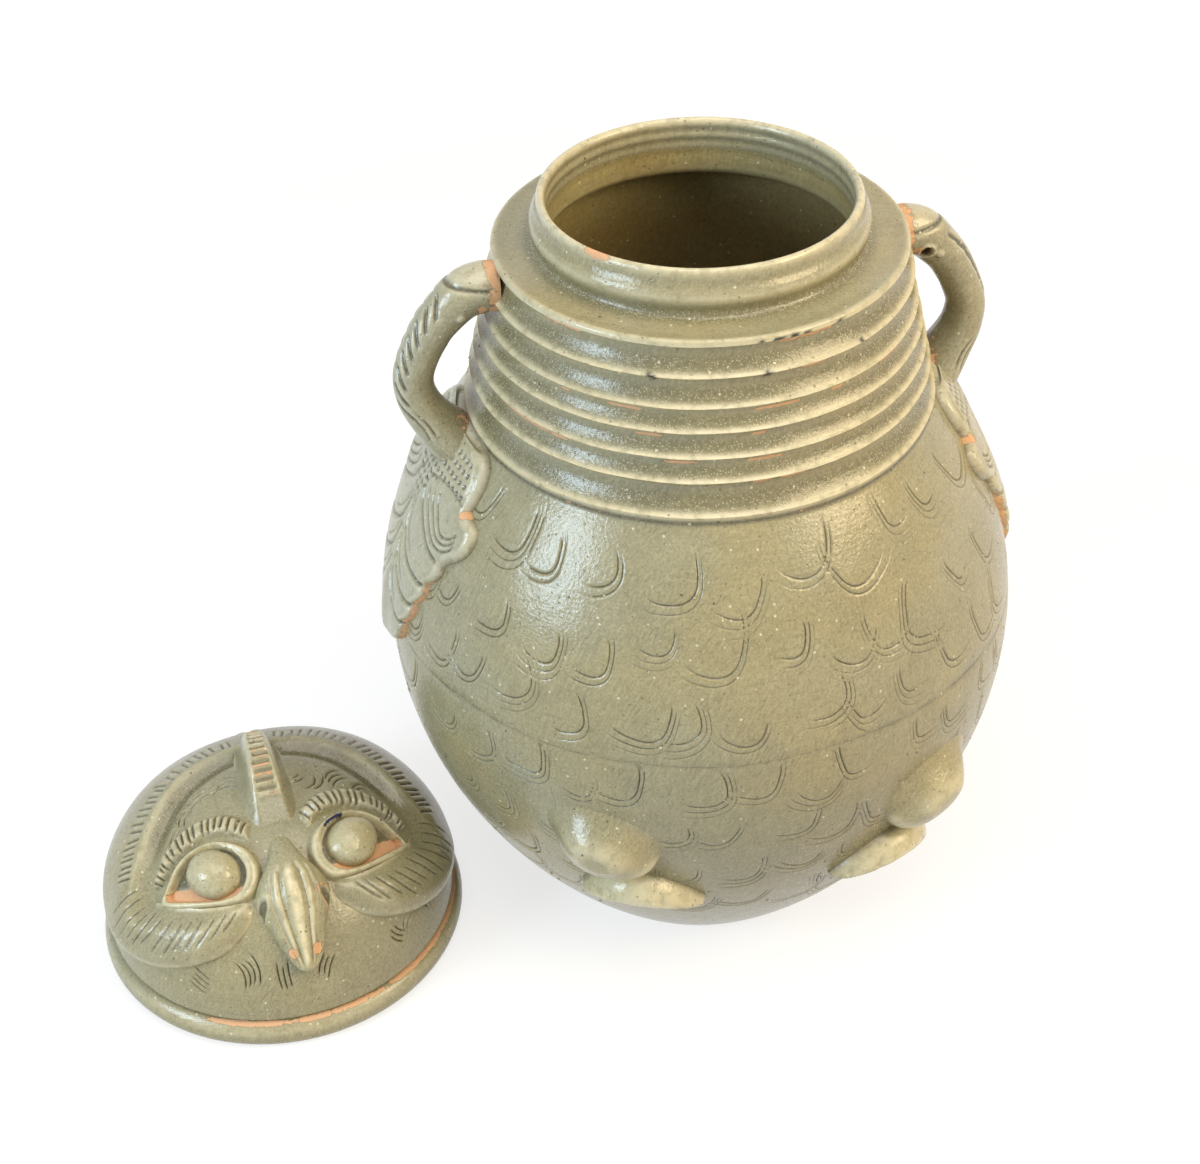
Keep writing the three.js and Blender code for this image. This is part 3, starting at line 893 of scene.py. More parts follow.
@dataclass
class JarBody:
    """The thrown jar in its two halves, with ribbed collar, neck and combed feather marks.

    Attributes:
        form: the outside that it follows.
        around: points in each turned ring.
        neck_radius: radius of the swelling round the neck.
        throat_radius: radius of the way in.
        lip_radius: radius of the lip.
        floor: thickness of the floor.
        row_gap: height between rows of feather marks.
        mark_gap: distance between marks in a row.
        parting: azimuth at which the marks begin to curl the other way.
        crest_steps: rings from one crest of the collar to the next.
        skin: how the combed skin is made.
        iron_spots: dark spots on the collar as azimuth, height, half width and half height.
    """

    form: JarForm
    around: int = 300
    neck_radius: float = 58.9
    throat_radius: float = 53.5
    lip_radius: float = 56.2
    floor: float = 9.0
    row_gap: float = 25.0
    mark_gap: float = 22.0
    parting: float = 14.0
    crest_steps: int = 14
    skin: CombedSkin = CombedSkin(Comb())
    iron_spots: tuple[tuple[float, float, float, float], ...] = (
        (-36, 280.4, 1.6, 0.9), (-27, 270.2, 1.7, 1.3), (2.8, 270.0, 1.8, 1.4), (10.3, 281.6, 1.5, 1.1),
        (6, 281.8, 2.6, 0.5), (14, 281.6, 1.6, 0.6), (1.5, 281.9, 1.1, 0.5), (-9, 261.0, 0.7, 0.6),
        (24, 281.7, 2.0, 0.45), (31, 271.0, 0.9, 0.7), (-44, 270.5, 0.9, 0.6),
    )

    def azimuths(self) -> Array:
        """Azimuths of the points in a ring, from behind the owl round to behind it."""
        return np.linspace(-180, 180, self.around + 1)

    def marks(self) -> list[Array]:
        """Rows of feather marks, which curl away from the owl's middle on both sides.

        Returns:
            The cuts, flat, with the share of the full cut as third column.
        """
        rng = np.random.default_rng(5)
        lines = []
        for row, height in enumerate(np.arange(self.form.collar_base - 12, 36, -self.row_gap)):
            radius = float(self.form.egg(height))
            count = round(2 * math.pi * radius / self.mark_gap)
            for k in range(count):
                azimuth = -180 + (k + 0.5 * (row % 2) + rng.uniform(-0.24, 0.24)) * 360 / count
                hook = 1 if azimuth < self.parting else -1
                tilt = math.radians(rng.uniform(-36, 12) * hook)
                turn = np.array([[math.cos(tilt), math.sin(tilt)], [-math.sin(tilt), math.cos(tilt)]])
                centre, width = height + rng.uniform(-6, 6), rng.uniform(13, 22)
                clear = centre - 0.42 * width - float(self.form.seam(azimuth))
                centre += 7.5 - clear if -1 < clear < 7.5 else 0
                for line in self.skin.comb.stroke(rng, width, hook, rng.choice([2, 2, 3, 3])):
                    flat = line[:, :2] @ turn
                    u = math.radians(azimuth) * self.form.belly_radius
                    line[:, 0] = u + flat[:, 0] * self.form.belly_radius / radius
                    line[:, 1] = centre + flat[:, 1]
                    lines.append(line)
        return lines

    def combed(self, low: Rule, high: Rule) -> Surface:
        """The outside between two wandering heights, with the marks that lie there.

        Args:
            low: gives the lower height at azimuths.
            high: gives the upper height at azimuths.

        Returns:
            The open surface.
        """
        form = self.form
        azimuth = self.azimuths()
        half = math.pi * form.belly_radius
        across = np.radians(azimuth) * form.belly_radius
        bottom, top = low(azimuth), high(azimuth)
        rows = [bottom, bottom + 0.5, top - 0.5, top]
        steps = np.arange(math.ceil(bottom[0]) + 2.0, top[0] - 2.0, 3.2)
        sides = [np.column_stack([np.full(len(steps), edge), steps]) for edge in (-half, half)]
        border = np.vstack([np.column_stack([across, row]) for row in rows] + sides)
        count = len(azimuth)
        edges = [(row * count + k, row * count + k + 1) for row in range(4) for k in range(count - 1)]
        for side, end in ((0, 0), (1, count - 1)):
            first = 4 * count + side * len(steps)
            chain = [end, count + end, *range(first, first + len(steps)), 2 * count + end, 3 * count + end]
            edges += list(zip(chain[:-1], chain[1:]))

        def inside(flat: Array) -> Array:
            """How deep flat points lie inside the stretch of skin."""
            turn = np.degrees(flat[:, 0] / form.belly_radius)
            above = np.minimum(flat[:, 1] - low(turn), high(turn) - flat[:, 1]) - 0.5
            return np.minimum(above, half - np.abs(flat[:, 0]))

        def stretch(flat: Array) -> Array:
            """Flat millimetres across for a true one: the drawing is as wide as the belly everywhere."""
            return form.belly_radius / form.egg(flat[:, 1])

        flat, faces, cut = self.skin.build(border, edges, inside, self.marks(), stretch)
        middle = flat[np.array(faces)].mean(1)
        within = (middle[:, 1] > np.interp(middle[:, 0], across, bottom)) & (
            middle[:, 1] < np.interp(middle[:, 0], across, top))
        faces = [face for face, kept in zip(faces, within) if kept]
        turn = np.degrees(flat[:, 0] / form.belly_radius)
        edge = bell(np.abs(flat[:, 1] - form.seam(turn)), 0, 0.62)
        points = form.spot(turn, flat[:, 1], -self.skin.comb.depth * cut - 0.2 * edge)
        faint = edge * (0.5 + 0.3 * ramp(-0.3, 0.5, rough(points, 18.0, 44)))
        # Painted shade: the glaze is darkened low on the belly, most on its right side, where it turns down
        # and away from the light.
        painted_shade = 1.2 * ramp(150, 60, flat[:, 1]) * ramp(-0.7, 0.8, np.sin(np.radians(turn + 10)))
        return Surface(points, faces, {Tone.GROOVE: np.maximum(cut, faint), Tone.POOL: painted_shade})

    def turned(self, rings: list[tuple], inner_from: int) -> Surface:
        """Turns a profile round the jar's axis.

        Args:
            rings: for each ring its radius, height, and the values thin, pool, groove and bare.
            inner_from: number of the first ring that belongs to the inside.

        Returns:
            The open surface.
        """
        turn = np.radians(self.azimuths()[:-1])
        table = np.array(rings, float)
        columns = ((Tone.THIN, 2), (Tone.POOL, 3), (Tone.GROOVE, 4), (Tone.BARE, 5))
        tones = {tone: np.repeat(table[:, column], len(turn)) for tone, column in columns}
        inner = [i >= inner_from for i in range(len(table) - 1) for _ in turn]
        return Surface(turned_rings(table, turn), ring_faces(len(table), len(turn)), tones, inner)

    def collar_rings(self) -> list[tuple]:
        """Rings of the collar: sharp pale crests over hollow, dark valleys."""
        rings = [(float(self.form.egg(self.form.collar_base)), self.form.collar_base, 0, 0, 0, 0)]
        rings.append((84.3, 220.4, 0, 0.5, 0.7, 0.5))
        for (low_radius, low), (high_radius, high) in zip(self.form.crests[:-1], self.form.crests[1:]):
            gap = high - low
            for k in range(self.crest_steps):
                share = 0.5 - 0.5 * math.cos(math.pi * k / self.crest_steps)
                down = 1 - share
                hollow = math.sin(math.pi * down**0.75) ** 0.62 if 0 < down < 1 else 0
                radius = low_radius + (high_radius - low_radius) * share - 0.32 * gap * hollow
                thin = math.exp(-(min(share, down) * gap / 1.1) ** 2)
                pool = float(ramp(0.3, 0.6, down) * ramp(0.03, 0.14, share))
                streak = math.exp(-((down * gap - 2.3) / 0.7) ** 2)
                rings.append((radius, low + gap * share, thin, pool, 0, streak))
        return rings

    def neck_rings(self) -> list[tuple]:
        """Rings of the lid seat, the neck and the lip, down to the throat's lower edge."""
        seat, neck, lip, throat = self.form.seat_height, self.neck_radius, self.lip_radius, self.throat_radius
        top = reach("jar_upper_body", 2)
        outline = [
            (72.7, 281.4, 1.0, 0.0), (72.5, 282.5, 0.7, 0.0), (71.6, seat, 0.6, 0.0),
            (70.0, seat - 0.1, 0.2, 0.1), (66.5, seat - 0.55, 0.15, 0.0), (63.0, seat - 0.6, 0.1, 0.05),
            (60.2, seat - 0.3, 0.0, 0.6),
            (58.6, seat + 0.2, 0.0, 1.0), (57.7, seat + 1.5, 0.0, 0.9), (57.8, seat + 3.2, 0.0, 0.5),
            (58.7, seat + 5.4, 0.3, 0.0), (neck, seat + 7.2, 0.6, 0.0), (58.4, seat + 9.0, 0.2, 0.0),
            (57.2, seat + 10.8, 0.0, 0.2), (56.5, seat + 12.6, 0.0, 0.1), (lip, top - 2.2, 0.4, 0.0),
            (55.7, top - 0.8, 0.9, 0.0), (54.7, top - 0.12, 1.0, 0.0), (53.6, top - 0.7, 0.9, 0.0),
            (52.9, top - 2.4, 0.45, 0.0), (53.3, top - 4.5, 0.25, 0.0), (52.9, top - 6.5, 0.35, 0.0),
            (53.4, top - 8.5, 0.0, 0.0), (53.1, top - 10.5, 0.2, 0.0), (throat, top - 13.5, 0.0, 0.1),
            (53.3, top - 17.0, 0.1, 0.3), (53.6, top - 20.0, 0.5, 0.4), (54.6, top - 22.0, 0.2, 0.9),
        ]
        fine = spline(outline, 92)
        return [(r, z, max(thin, 0), max(pool, 0), 0, 0) for r, z, thin, pool in fine]

    def inner_rings(self, low: float, high: float, count: int) -> list[tuple]:
        """Rings down the hollow's wall.

        Args:
            low: lowest height.
            high: highest height.
            count: how many rings.

        Returns:
            The rings.
        """
        form, heights = self.form, np.linspace(high, low, count)
        outside = np.where(heights < form.collar_base, form.egg(heights), form.collar(heights) - 0.6)
        # The wall's glaze is darkened a little all over, as painted shade inside the hollow.
        return [(radius - form.wall, height, 0, 0.35, 0, 0) for radius, height in zip(outside, heights)]

    def thrown(self, surface: Surface) -> Surface:
        """Gives turned rings the unevenness and the marks of throwing.

        Args:
            surface: exact rings.

        Returns:
            The rings as thrown.
        """
        form, points = self.form, surface.points
        radius = np.hypot(points[:, 0], points[:, 1])
        crest = surface.tone(Tone.THIN) * ((points[:, 2] > form.collar_base) & (radius > 70))
        waver = rough(points * [1, 1, 0.15], 26.0, 21) * 0.45 * crest - 0.15 * crest
        hollow = points[:, 2] < form.seat_height - 6
        inside = hollow & (radius < np.where(points[:, 2] < form.collar_base, form.egg(points[:, 2]), 66) - 3)
        waver += np.where(inside, 0.9 * rough(points * [1, 1, 0.7], 30.0, 33, 4), 0)
        moved = widened(points, 1 + waver / np.maximum(radius, 1))
        azimuth = azimuth_of(points)
        often = 0.22 * bell(azimuth, -40, 22) + 0.3 * bell(azimuth, 48, 30) + 0.2 * bell(azimuth, 8, 12)
        streak = rough(points * [0.42, 0.42, 1], 8.0, 57) + often
        low = ramp(0.3, 0.42, streak) * surface.tone(Tone.BARE)
        tones = dict(surface.tones)
        tones[Tone.INK] = np.zeros(len(points))
        for place, height, wide, tall in self.iron_spots:
            aside = (azimuth - place) * math.radians(1) * radius / wide
            gap = np.hypot(aside, (points[:, 2] - height) / tall)
            gap = gap + 0.5 * lattice(points, 1.3, 58)
            tones[Tone.INK] = np.maximum(tones[Tone.INK], ramp(1.2, 0.75, gap) * (radius > 71.8))
        tones[Tone.BARE] = np.where(points[:, 2] > form.collar_base, low, surface.tone(Tone.BARE))
        return Surface(form.strayed(moved), surface.faces, tones, surface.inner)

    def chipped_lip(self, surface: Surface) -> Surface:
        """Bares the clay along a short stretch of the lip.

        Args:
            surface: the upper half.

        Returns:
            The same with bare clay on the lip.
        """
        points = surface.points
        azimuth = azimuth_of(points)
        lip = bell(points[:, 2], reach("jar_upper_body", 2) - 0.6, 1.6)
        worn = lip * bell(azimuth, -52, 6.5) + 0.45 * lip * ramp(0.2, 0.6, rough(points, 22.0, 71))
        return replace(surface, tones={**surface.tones, Tone.BARE: np.maximum(surface.tone(Tone.BARE), worn)})

    def seam_rings(self, surface: Surface) -> Surface:
        """Joint face between the outer skin and the hollow, which follows the wandering seam.

        Args:
            surface: turned rings whose last ring is the hollow's edge at the seam.

        Returns:
            The rings with the joint face added.
        """
        form = self.form
        azimuth = self.azimuths()[:-1]
        count = len(azimuth)
        height = form.seam(azimuth)
        outer = form.spot(azimuth, height, np.full(count, -0.2))
        points = surface.points.copy()
        points[-count:, 2] = height
        base = len(points) - count
        joint = [(base + a, base + b, base + c, base + d) for a, b, c, d in ring_faces(2, count)]
        tones = {tone: np.append(value, np.zeros(count)) for tone, value in surface.tones.items()}
        tones[Tone.GROOVE][-count:] = 0.3
        inner = surface.inner + [True] * count
        return Surface(np.vstack([points, outer]), surface.faces + joint, tones, inner)

    def seam_edge(self) -> tuple:
        """The ring where the hollow meets the seam."""
        height = self.form.seam_height
        return self.form.egg(height) - self.form.wall, height, 0, 0.3, 0, 0

    def upper(self) -> Surface:
        """The upper half as one closed surface."""
        form = self.form
        outside = self.collar_rings() + self.neck_rings()
        hollow = self.inner_rings(form.seam_height + 3, form.seat_height - 9, 34)
        rings = self.thrown(self.turned(outside + hollow + [self.seam_edge()], len(outside) - 18))
        rings = self.chipped_lip(self.seam_rings(rings))
        return self.combed(form.seam, level(form.collar_base)).joined(rings)

    def lower(self) -> Surface:
        """The lower half as one closed surface, with its flat foot bare of glaze."""
        form = self.form
        foot = 1.5
        skin = self.combed(level(foot), form.seam)
        edge = float(form.egg(foot))
        sole = [(edge, foot, 0, 0, 0, 0.4), (edge - 0.8, 0.6, 0, 0, 0, 1), (edge - 2.2, 0, 0, 0, 0, 1),
                (edge - 12, 0, 0, 0, 0, 1), (20, 0, 0, 0, 0, 1), (0.0, 0, 0, 0, 0, 1)]
        bottom = self.turned(sole, len(sole))
        bottom = replace(bottom, points=form.strayed(bottom.points))
        # The inner floor is darker: glaze lying thick there, and painted shade at the bottom of the hollow.
        floor = [(radius, self.floor, 0, 0.6, 0, 0) for radius in np.linspace(0, form.foot_radius - 9, 14)]
        wall = self.inner_rings(form.seam_height - 3, self.floor + 2, 46)
        hollow = self.turned(floor + wall + [self.seam_edge()], 0)
        return skin.joined(bottom).joined(self.seam_rings(self.thrown(hollow)))

    def build(self, glaze: bpy.types.Material, inside: bpy.types.Material) -> None:
        """Builds both halves.

        Args:
            glaze: finish of the outside.
            inside: finish of the hollow.
        """
        for half, surface in (("jar_lower_body", self.lower()), ("jar_upper_body", self.upper())):
            Piece(half, "jar", [glaze, inside], passes=0).build(surface)


@dataclass
class BirdHandle:
    """Bent roll of clay that ends in a bird's head, which bites the collar.

    Attributes:
        form: the jar that it is luted on.
        side: which side it is on.
        spine: its middle line from the head to the root, as radius and height.
        girth: half thickness in the plane of the bend, at the same points.
        breadth: half thickness across it, at the same points.
        lean_out: how much further out than the spine this side's roll bends.
        hole_place: radius and height of the hole pierced in the right bird's head.
        pellet_place: radius and height of the pellet of clay on each head.
        cap_height: height of the groove under the crown of the head.
        steps: points along it.
        around: points round it.
    """

    form: JarForm
    side: Side
    spine: Line = (
        (71.5, 273.0), (76.5, 273.2), (82.5, 271.2), (88.5, 265.8), (93.8, 259.6), (98.6, 250.6),
        (101.6, 241.0), (100.4, 231.4), (96.0, 222.6), (90.4, 214.6), (84.5, 207.5),
    )
    girth: tuple[float, ...] = (8.6, 8.9, 8.6, 7.9, 7.5, 7.2, 7.1, 7.5, 8.2, 9.6, 11.0)
    breadth: tuple[float, ...] = (8.6, 9.0, 8.8, 8.2, 7.9, 7.7, 7.8, 8.6, 10.4, 13.6, 16.5)
    lean_out: float = 1.4
    hole_place: tuple[float, float] = (80.7, 267.6)
    pellet_place: tuple[float, float] = (85.6, 266.4)
    cap_height: float = 276.3
    steps: int = 170
    around: int = 84

    def surface(self) -> Surface:
        """The handle as one closed surface."""
        knots = np.array(self.spine)
        shift = self.lean_out * (1 if self.side is Side.LEFT else -1)
        knots[:, 0] += shift * np.sin(np.linspace(0, math.pi, len(knots))) ** 0.8
        table = spline(np.column_stack([knots, self.girth, self.breadth]), self.steps)
        line, girth, breadth = table[:, :2], table[:, 2], table[:, 3]
        along, length = direction(line), walked(line)
        out = np.column_stack([-along[:, 1], along[:, 0]])
        turn = circle(self.around)
        s, a = np.meshgrid(length, turn, indexing="ij")
        s, a = s.ravel(), a.ravel()
        girths, breadths = np.repeat(girth, self.around), np.repeat(breadth, self.around)
        centre, outward = np.repeat(line, self.around, axis=0), np.repeat(out, self.around, axis=0)
        flat = np.column_stack([s, np.degrees((a + math.pi) % (2 * math.pi) - math.pi) * 0.135])
        near_root = ramp(length[-1] - 34, length[-1] - 14, s)
        cut = np.zeros(len(s))
        for crease in self.cuts():
            cut = np.maximum(cut, crease.share(flat) * crease.depth)
        swell = 0.35 * rough(np.column_stack([flat, np.zeros(len(s))]), 16.0, 91 + self.side.value)
        size = 1 + (swell - cut) / girths
        r = centre[:, 0] + outward[:, 0] * np.cos(a) * girths * size
        z = centre[:, 1] + outward[:, 1] * np.cos(a) * girths * size
        y = -np.sin(a) * breadths * size
        cap = bell(z - self.cap_height - 0.16 * (r - 80), 0, 0.75) * (r > 74) * (s < 24)
        shrink = 1 - 0.11 * cap
        mid = centre[:, 1]
        z = mid + (z - mid) * shrink
        y *= shrink
        pierced = self.side is Side.RIGHT
        hole = self.spot_share(r, y, z, self.hole_place, 1.9) * pierced
        ring = self.spot_share(r, y, z, self.hole_place, 3.4) * pierced - hole
        pellet = self.spot_share(r, y, z, self.pellet_place, 1.5)
        y += 3.2 * hole - 0.8 * np.clip(ring, 0, 1) - 0.9 * pellet
        points = self.form.seated(np.column_stack([r, y, z]), 1.2)
        points[:, 0] *= self.side.value
        collar_side = ramp(8, 2, r - 72) * (s < 26)
        inner_root = near_root * ramp(-0.2, -0.8, np.cos(a))
        tones = {
            Tone.GROOVE: np.clip(np.maximum.reduce([cut * 1.1, 0.9 * cap, hole]), 0, 1),
            Tone.THIN: np.maximum(0.55 * ramp(276.6, 279, z), 0.5 * pellet),
            Tone.POOL: 0.5 * ramp(-0.2, -0.9, np.cos(a)) * (1 - near_root),
            Tone.BARE: np.maximum.reduce([0.62 * collar_side, 0.5 * inner_root,
                                          0.75 * bell(r, 78.2, 2.6) * bell(z, 268.6, 3.4) * (y < 0)]),
        }
        return capped(Surface(points, ring_faces(self.steps, self.around), tones), self.around)

    def spot_share(self, r: Array, y: Array, z: Array, place: tuple[float, float],
                   radius: float) -> Array:
        """Share of a round spot at a distance and height, on the side of the head that faces the viewer."""
        gap = np.hypot(r - place[0], z - place[1])
        return ramp(radius + 0.5, radius - 0.5, gap) * (y < 0)

    def cuts(self) -> list[Crease]:
        """Combed cuts on the back of the neck, as length along the roll and distance round it."""
        lines = []
        for k in range(8):
            start = 19 + 5.4 * k
            for across in (-1, 1):
                if self.side is Side.LEFT:
                    knots = [(start - 3, across * 1.2), (start + 1, across * 5), (start + 5.5, across * 9.2)]
                else:
                    knots = [(start - 6, across * (6.5 - 0.5 * k)), (start + 2, across * (4.4 - 0.4 * k)),
                             (start + 9, across * (1.8 - 0.1 * k))]
                lines.append(Crease(spline(knots, 12), 0.75, 0.95, 0.25))
        for drop in (0, 2.6):
            knots = [(56, 6 + drop), (64, 8.5 + drop), (73, 7.5 + drop)]
            lines.append(Crease(spline(knots, 14), 0.5, 0.6, 0.3))
        return lines

    def build(self, glaze: bpy.types.Material) -> None:
        """Builds the handle in its glaze."""
        Piece(f"bird_handle_{self.side.word}", "jar", [glaze]).build(self.surface())


@dataclass
class BirdPlaque:
    """Moulded relief of the bird's breast, wings and tail below its neck.

    Attributes:
        form: the jar that it is luted on.
        side: which side it is on.
        thickness: its thickness.
        edge: outline of one half from the top down, as half width and height.
        wing: inner edge of the wing, from the middle to the wing's curled end.
        feathers: lower edge of each long feather below the wing.
        pit_gap: distance between the pits on the breast.
        breast_height: height of the breast's middle.
        middle_height: height of the plaque's middle.
    """

    form: JarForm
    side: Side
    thickness: float = 4.6
    edge: Line = (
        (0, 221.6), (9, 221.4), (19, 220.2), (27, 217.6), (31.6, 212.6), (33, 207), (33.2, 203), (36, 201.4),
        (40.6, 199.8), (43, 195.6), (42.6, 191.2), (40, 187.2), (36.4, 184.2), (34.6, 182.2), (34.8, 178.8),
        (32.6, 174.8), (29.6, 171.6), (30.2, 168.6), (28.6, 164.2), (25.6, 160.6), (26, 157), (23.4, 152),
        (20.4, 149), (19.6, 144), (15.6, 138), (9.6, 133.4), (0, 131.4),
    )
    wing: Line = ((0.6, 200.5), (5, 198), (8.6, 192.4), (15.4, 187.8), (24.6, 183.8), (33.6, 182.4))
    feathers: tuple[Line, ...] = (
        ((1.2, 190), (3.4, 181), (9, 175), (16.6, 171.4), (26, 170.6), (29.8, 171.4)),
        ((0.9, 179), (3.4, 169.6), (8.6, 163.6), (15, 160), (22, 159.4), (25.8, 160.4)),
        ((0.8, 166), (3.2, 158.6), (7.6, 152.6), (13, 149.2), (18, 148.2), (20.6, 149)),
    )
    pit_gap: float = 3.1
    breast_height: float = 205.0
    middle_height: float = 178.0

    def outline(self) -> Array:
        """The whole outline, ragged where clay squeezed out under it."""
        half = list(self.edge)
        loop = half + [(-a, h) for a, h in half[-2:0:-1]]
        line = spline(loop, 330, closed=True)
        out = line - [0, self.middle_height]
        out /= np.linalg.norm(out, axis=1)[:, None]
        jitter = rough(np.column_stack([line, np.full(len(line), 9.0)]), 7.0, 40 + self.side.value)
        low = ramp(190, 160, line[:, 1])
        return line + out * (0.55 * jitter * (0.25 + low))[:, None]

    def creases(self) -> list[Crease]:
        """Lines between the wing's bands and the long feathers, on both halves."""
        wing = spline(self.wing, 40)
        lines = [Crease(wing, 0.75, 1.3, 0.08)]
        for band in (3.6, 7.0, 10.2):
            curl = spline([
                (5.5 + 1.15 * band, 199.6 + 0.22 * band), (8.6 + band, 193.6 + 0.42 * band),
                (15.6 + 0.85 * band, 188.4 + 0.55 * band), (25 + 0.42 * band, 184.6 + 0.7 * band),
                (32.4 + 0.12 * band, 184.4 + 0.78 * band), (37.4 - 0.12 * band, 187.6 + 0.72 * band),
                (38.4 - 0.3 * band, 192.2 + 0.45 * band),
            ], 48)
            lines.append(Crease(curl, 0.5, 0.95, 0.1))
        shoulder = spline([(3.4, 200.6), (12, 203.4), (22, 204.6), (32, 203.2)], 30)
        lines.append(Crease(shoulder, 0.45, 0.6, 0.12))
        for feather in self.feathers:
            lines.append(Crease(spline(list(feather), 36), 0.8, 1.5, 0.06))
            inner = [(a + 1.6, h + 3.4) for a, h in feather[:-2]]
            lines.append(Crease(spline(inner, 24), 0.4, 0.45, 0.2))
        rim = [(a * 0.9, h - 2.1) for a, h in self.edge[2:6]]
        lines.append(Crease(spline(rim, 24), 0.9, -0.7, 0.15))
        return [crease.turned(np.array([flip, 1])) for crease in lines for flip in (-1, 1)]

    def pits(self, flat: Array, depth: Array) -> Array:
        """Share of the breast's pits at flat points.

        Args:
            flat: the points.
            depth: how deep inside the outline they lie.

        Returns:
            A share from 0 to 1 for each.
        """
        gap = self.pit_gap
        row = np.round((flat[:, 1] - self.breast_height) / gap)
        bow = flat[:, 1] - self.breast_height - gap * row
        column = (flat[:, 0] - 0.5 * gap * (row % 2)) / gap
        aside = (column - np.round(column)) * gap
        breast = (flat[:, 1] > 200.5 + 0.13 * np.abs(flat[:, 0])) | (
            (np.abs(flat[:, 0]) < 0.55 * (flat[:, 1] - 187)) & (flat[:, 1] > 188))
        within = breast & (flat[:, 1] < 218.5) & (depth > 4.2)
        return ramp(1.15, 0.45, np.hypot(aside, bow)) * within

    def surface(self) -> Surface:
        """The plaque as one closed surface."""
        def form(flat: Array, depth: Array) -> Array:
            """Rounded slab with a full breast and bellied feathers."""
            breast = 1.5 * bell(flat[:, 0], 0, 22) * bell(flat[:, 1], 207, 11)
            tail = 1.1 * bell(flat[:, 0], 0, 5) * ramp(170, 150, flat[:, 1])
            wing = 1.2 * bell(np.abs(flat[:, 0]), 31, 8) * bell(flat[:, 1], 192, 8)
            belly = 0.7 * (1 - np.exp(-depth / 4))
            slab = rounded(depth, self.thickness - 1.4, 2.0)
            return slab + (breast + tail + wing + belly) * ramp(0, 3, depth) - (0.9 * self.pits(flat, depth))

        def tones(flat: Array, depth: Array) -> dict[Tone, Array]:
            """Dark pits, pale swellings and bare clay in cracks along the lower edge."""
            edge = bell(depth, 0, 0.9) * (0.35 + 0.5 * ramp(188, 160, flat[:, 1]))
            notch = bell(np.abs(flat[:, 0]), 33.5, 2.6) * bell(flat[:, 1], 201.6, 2.2)
            return {Tone.GROOVE: self.pits(flat, depth), Tone.BARE: np.maximum(edge, 0.8 * notch),
                    Tone.THIN: 0.25 * ramp(1.5, 5, depth)}

        place = self.form.patch(90.0 * self.side.value)
        return Relief(self.outline(), form, place, self.creases(), tones, 0.62, sink=1.1).surface()

    def build(self, glaze: bpy.types.Material) -> None:
        """Builds the plaque in its glaze."""
        Piece(f"bird_plaque_{self.side.word}", "jar", [glaze]).build(self.surface())


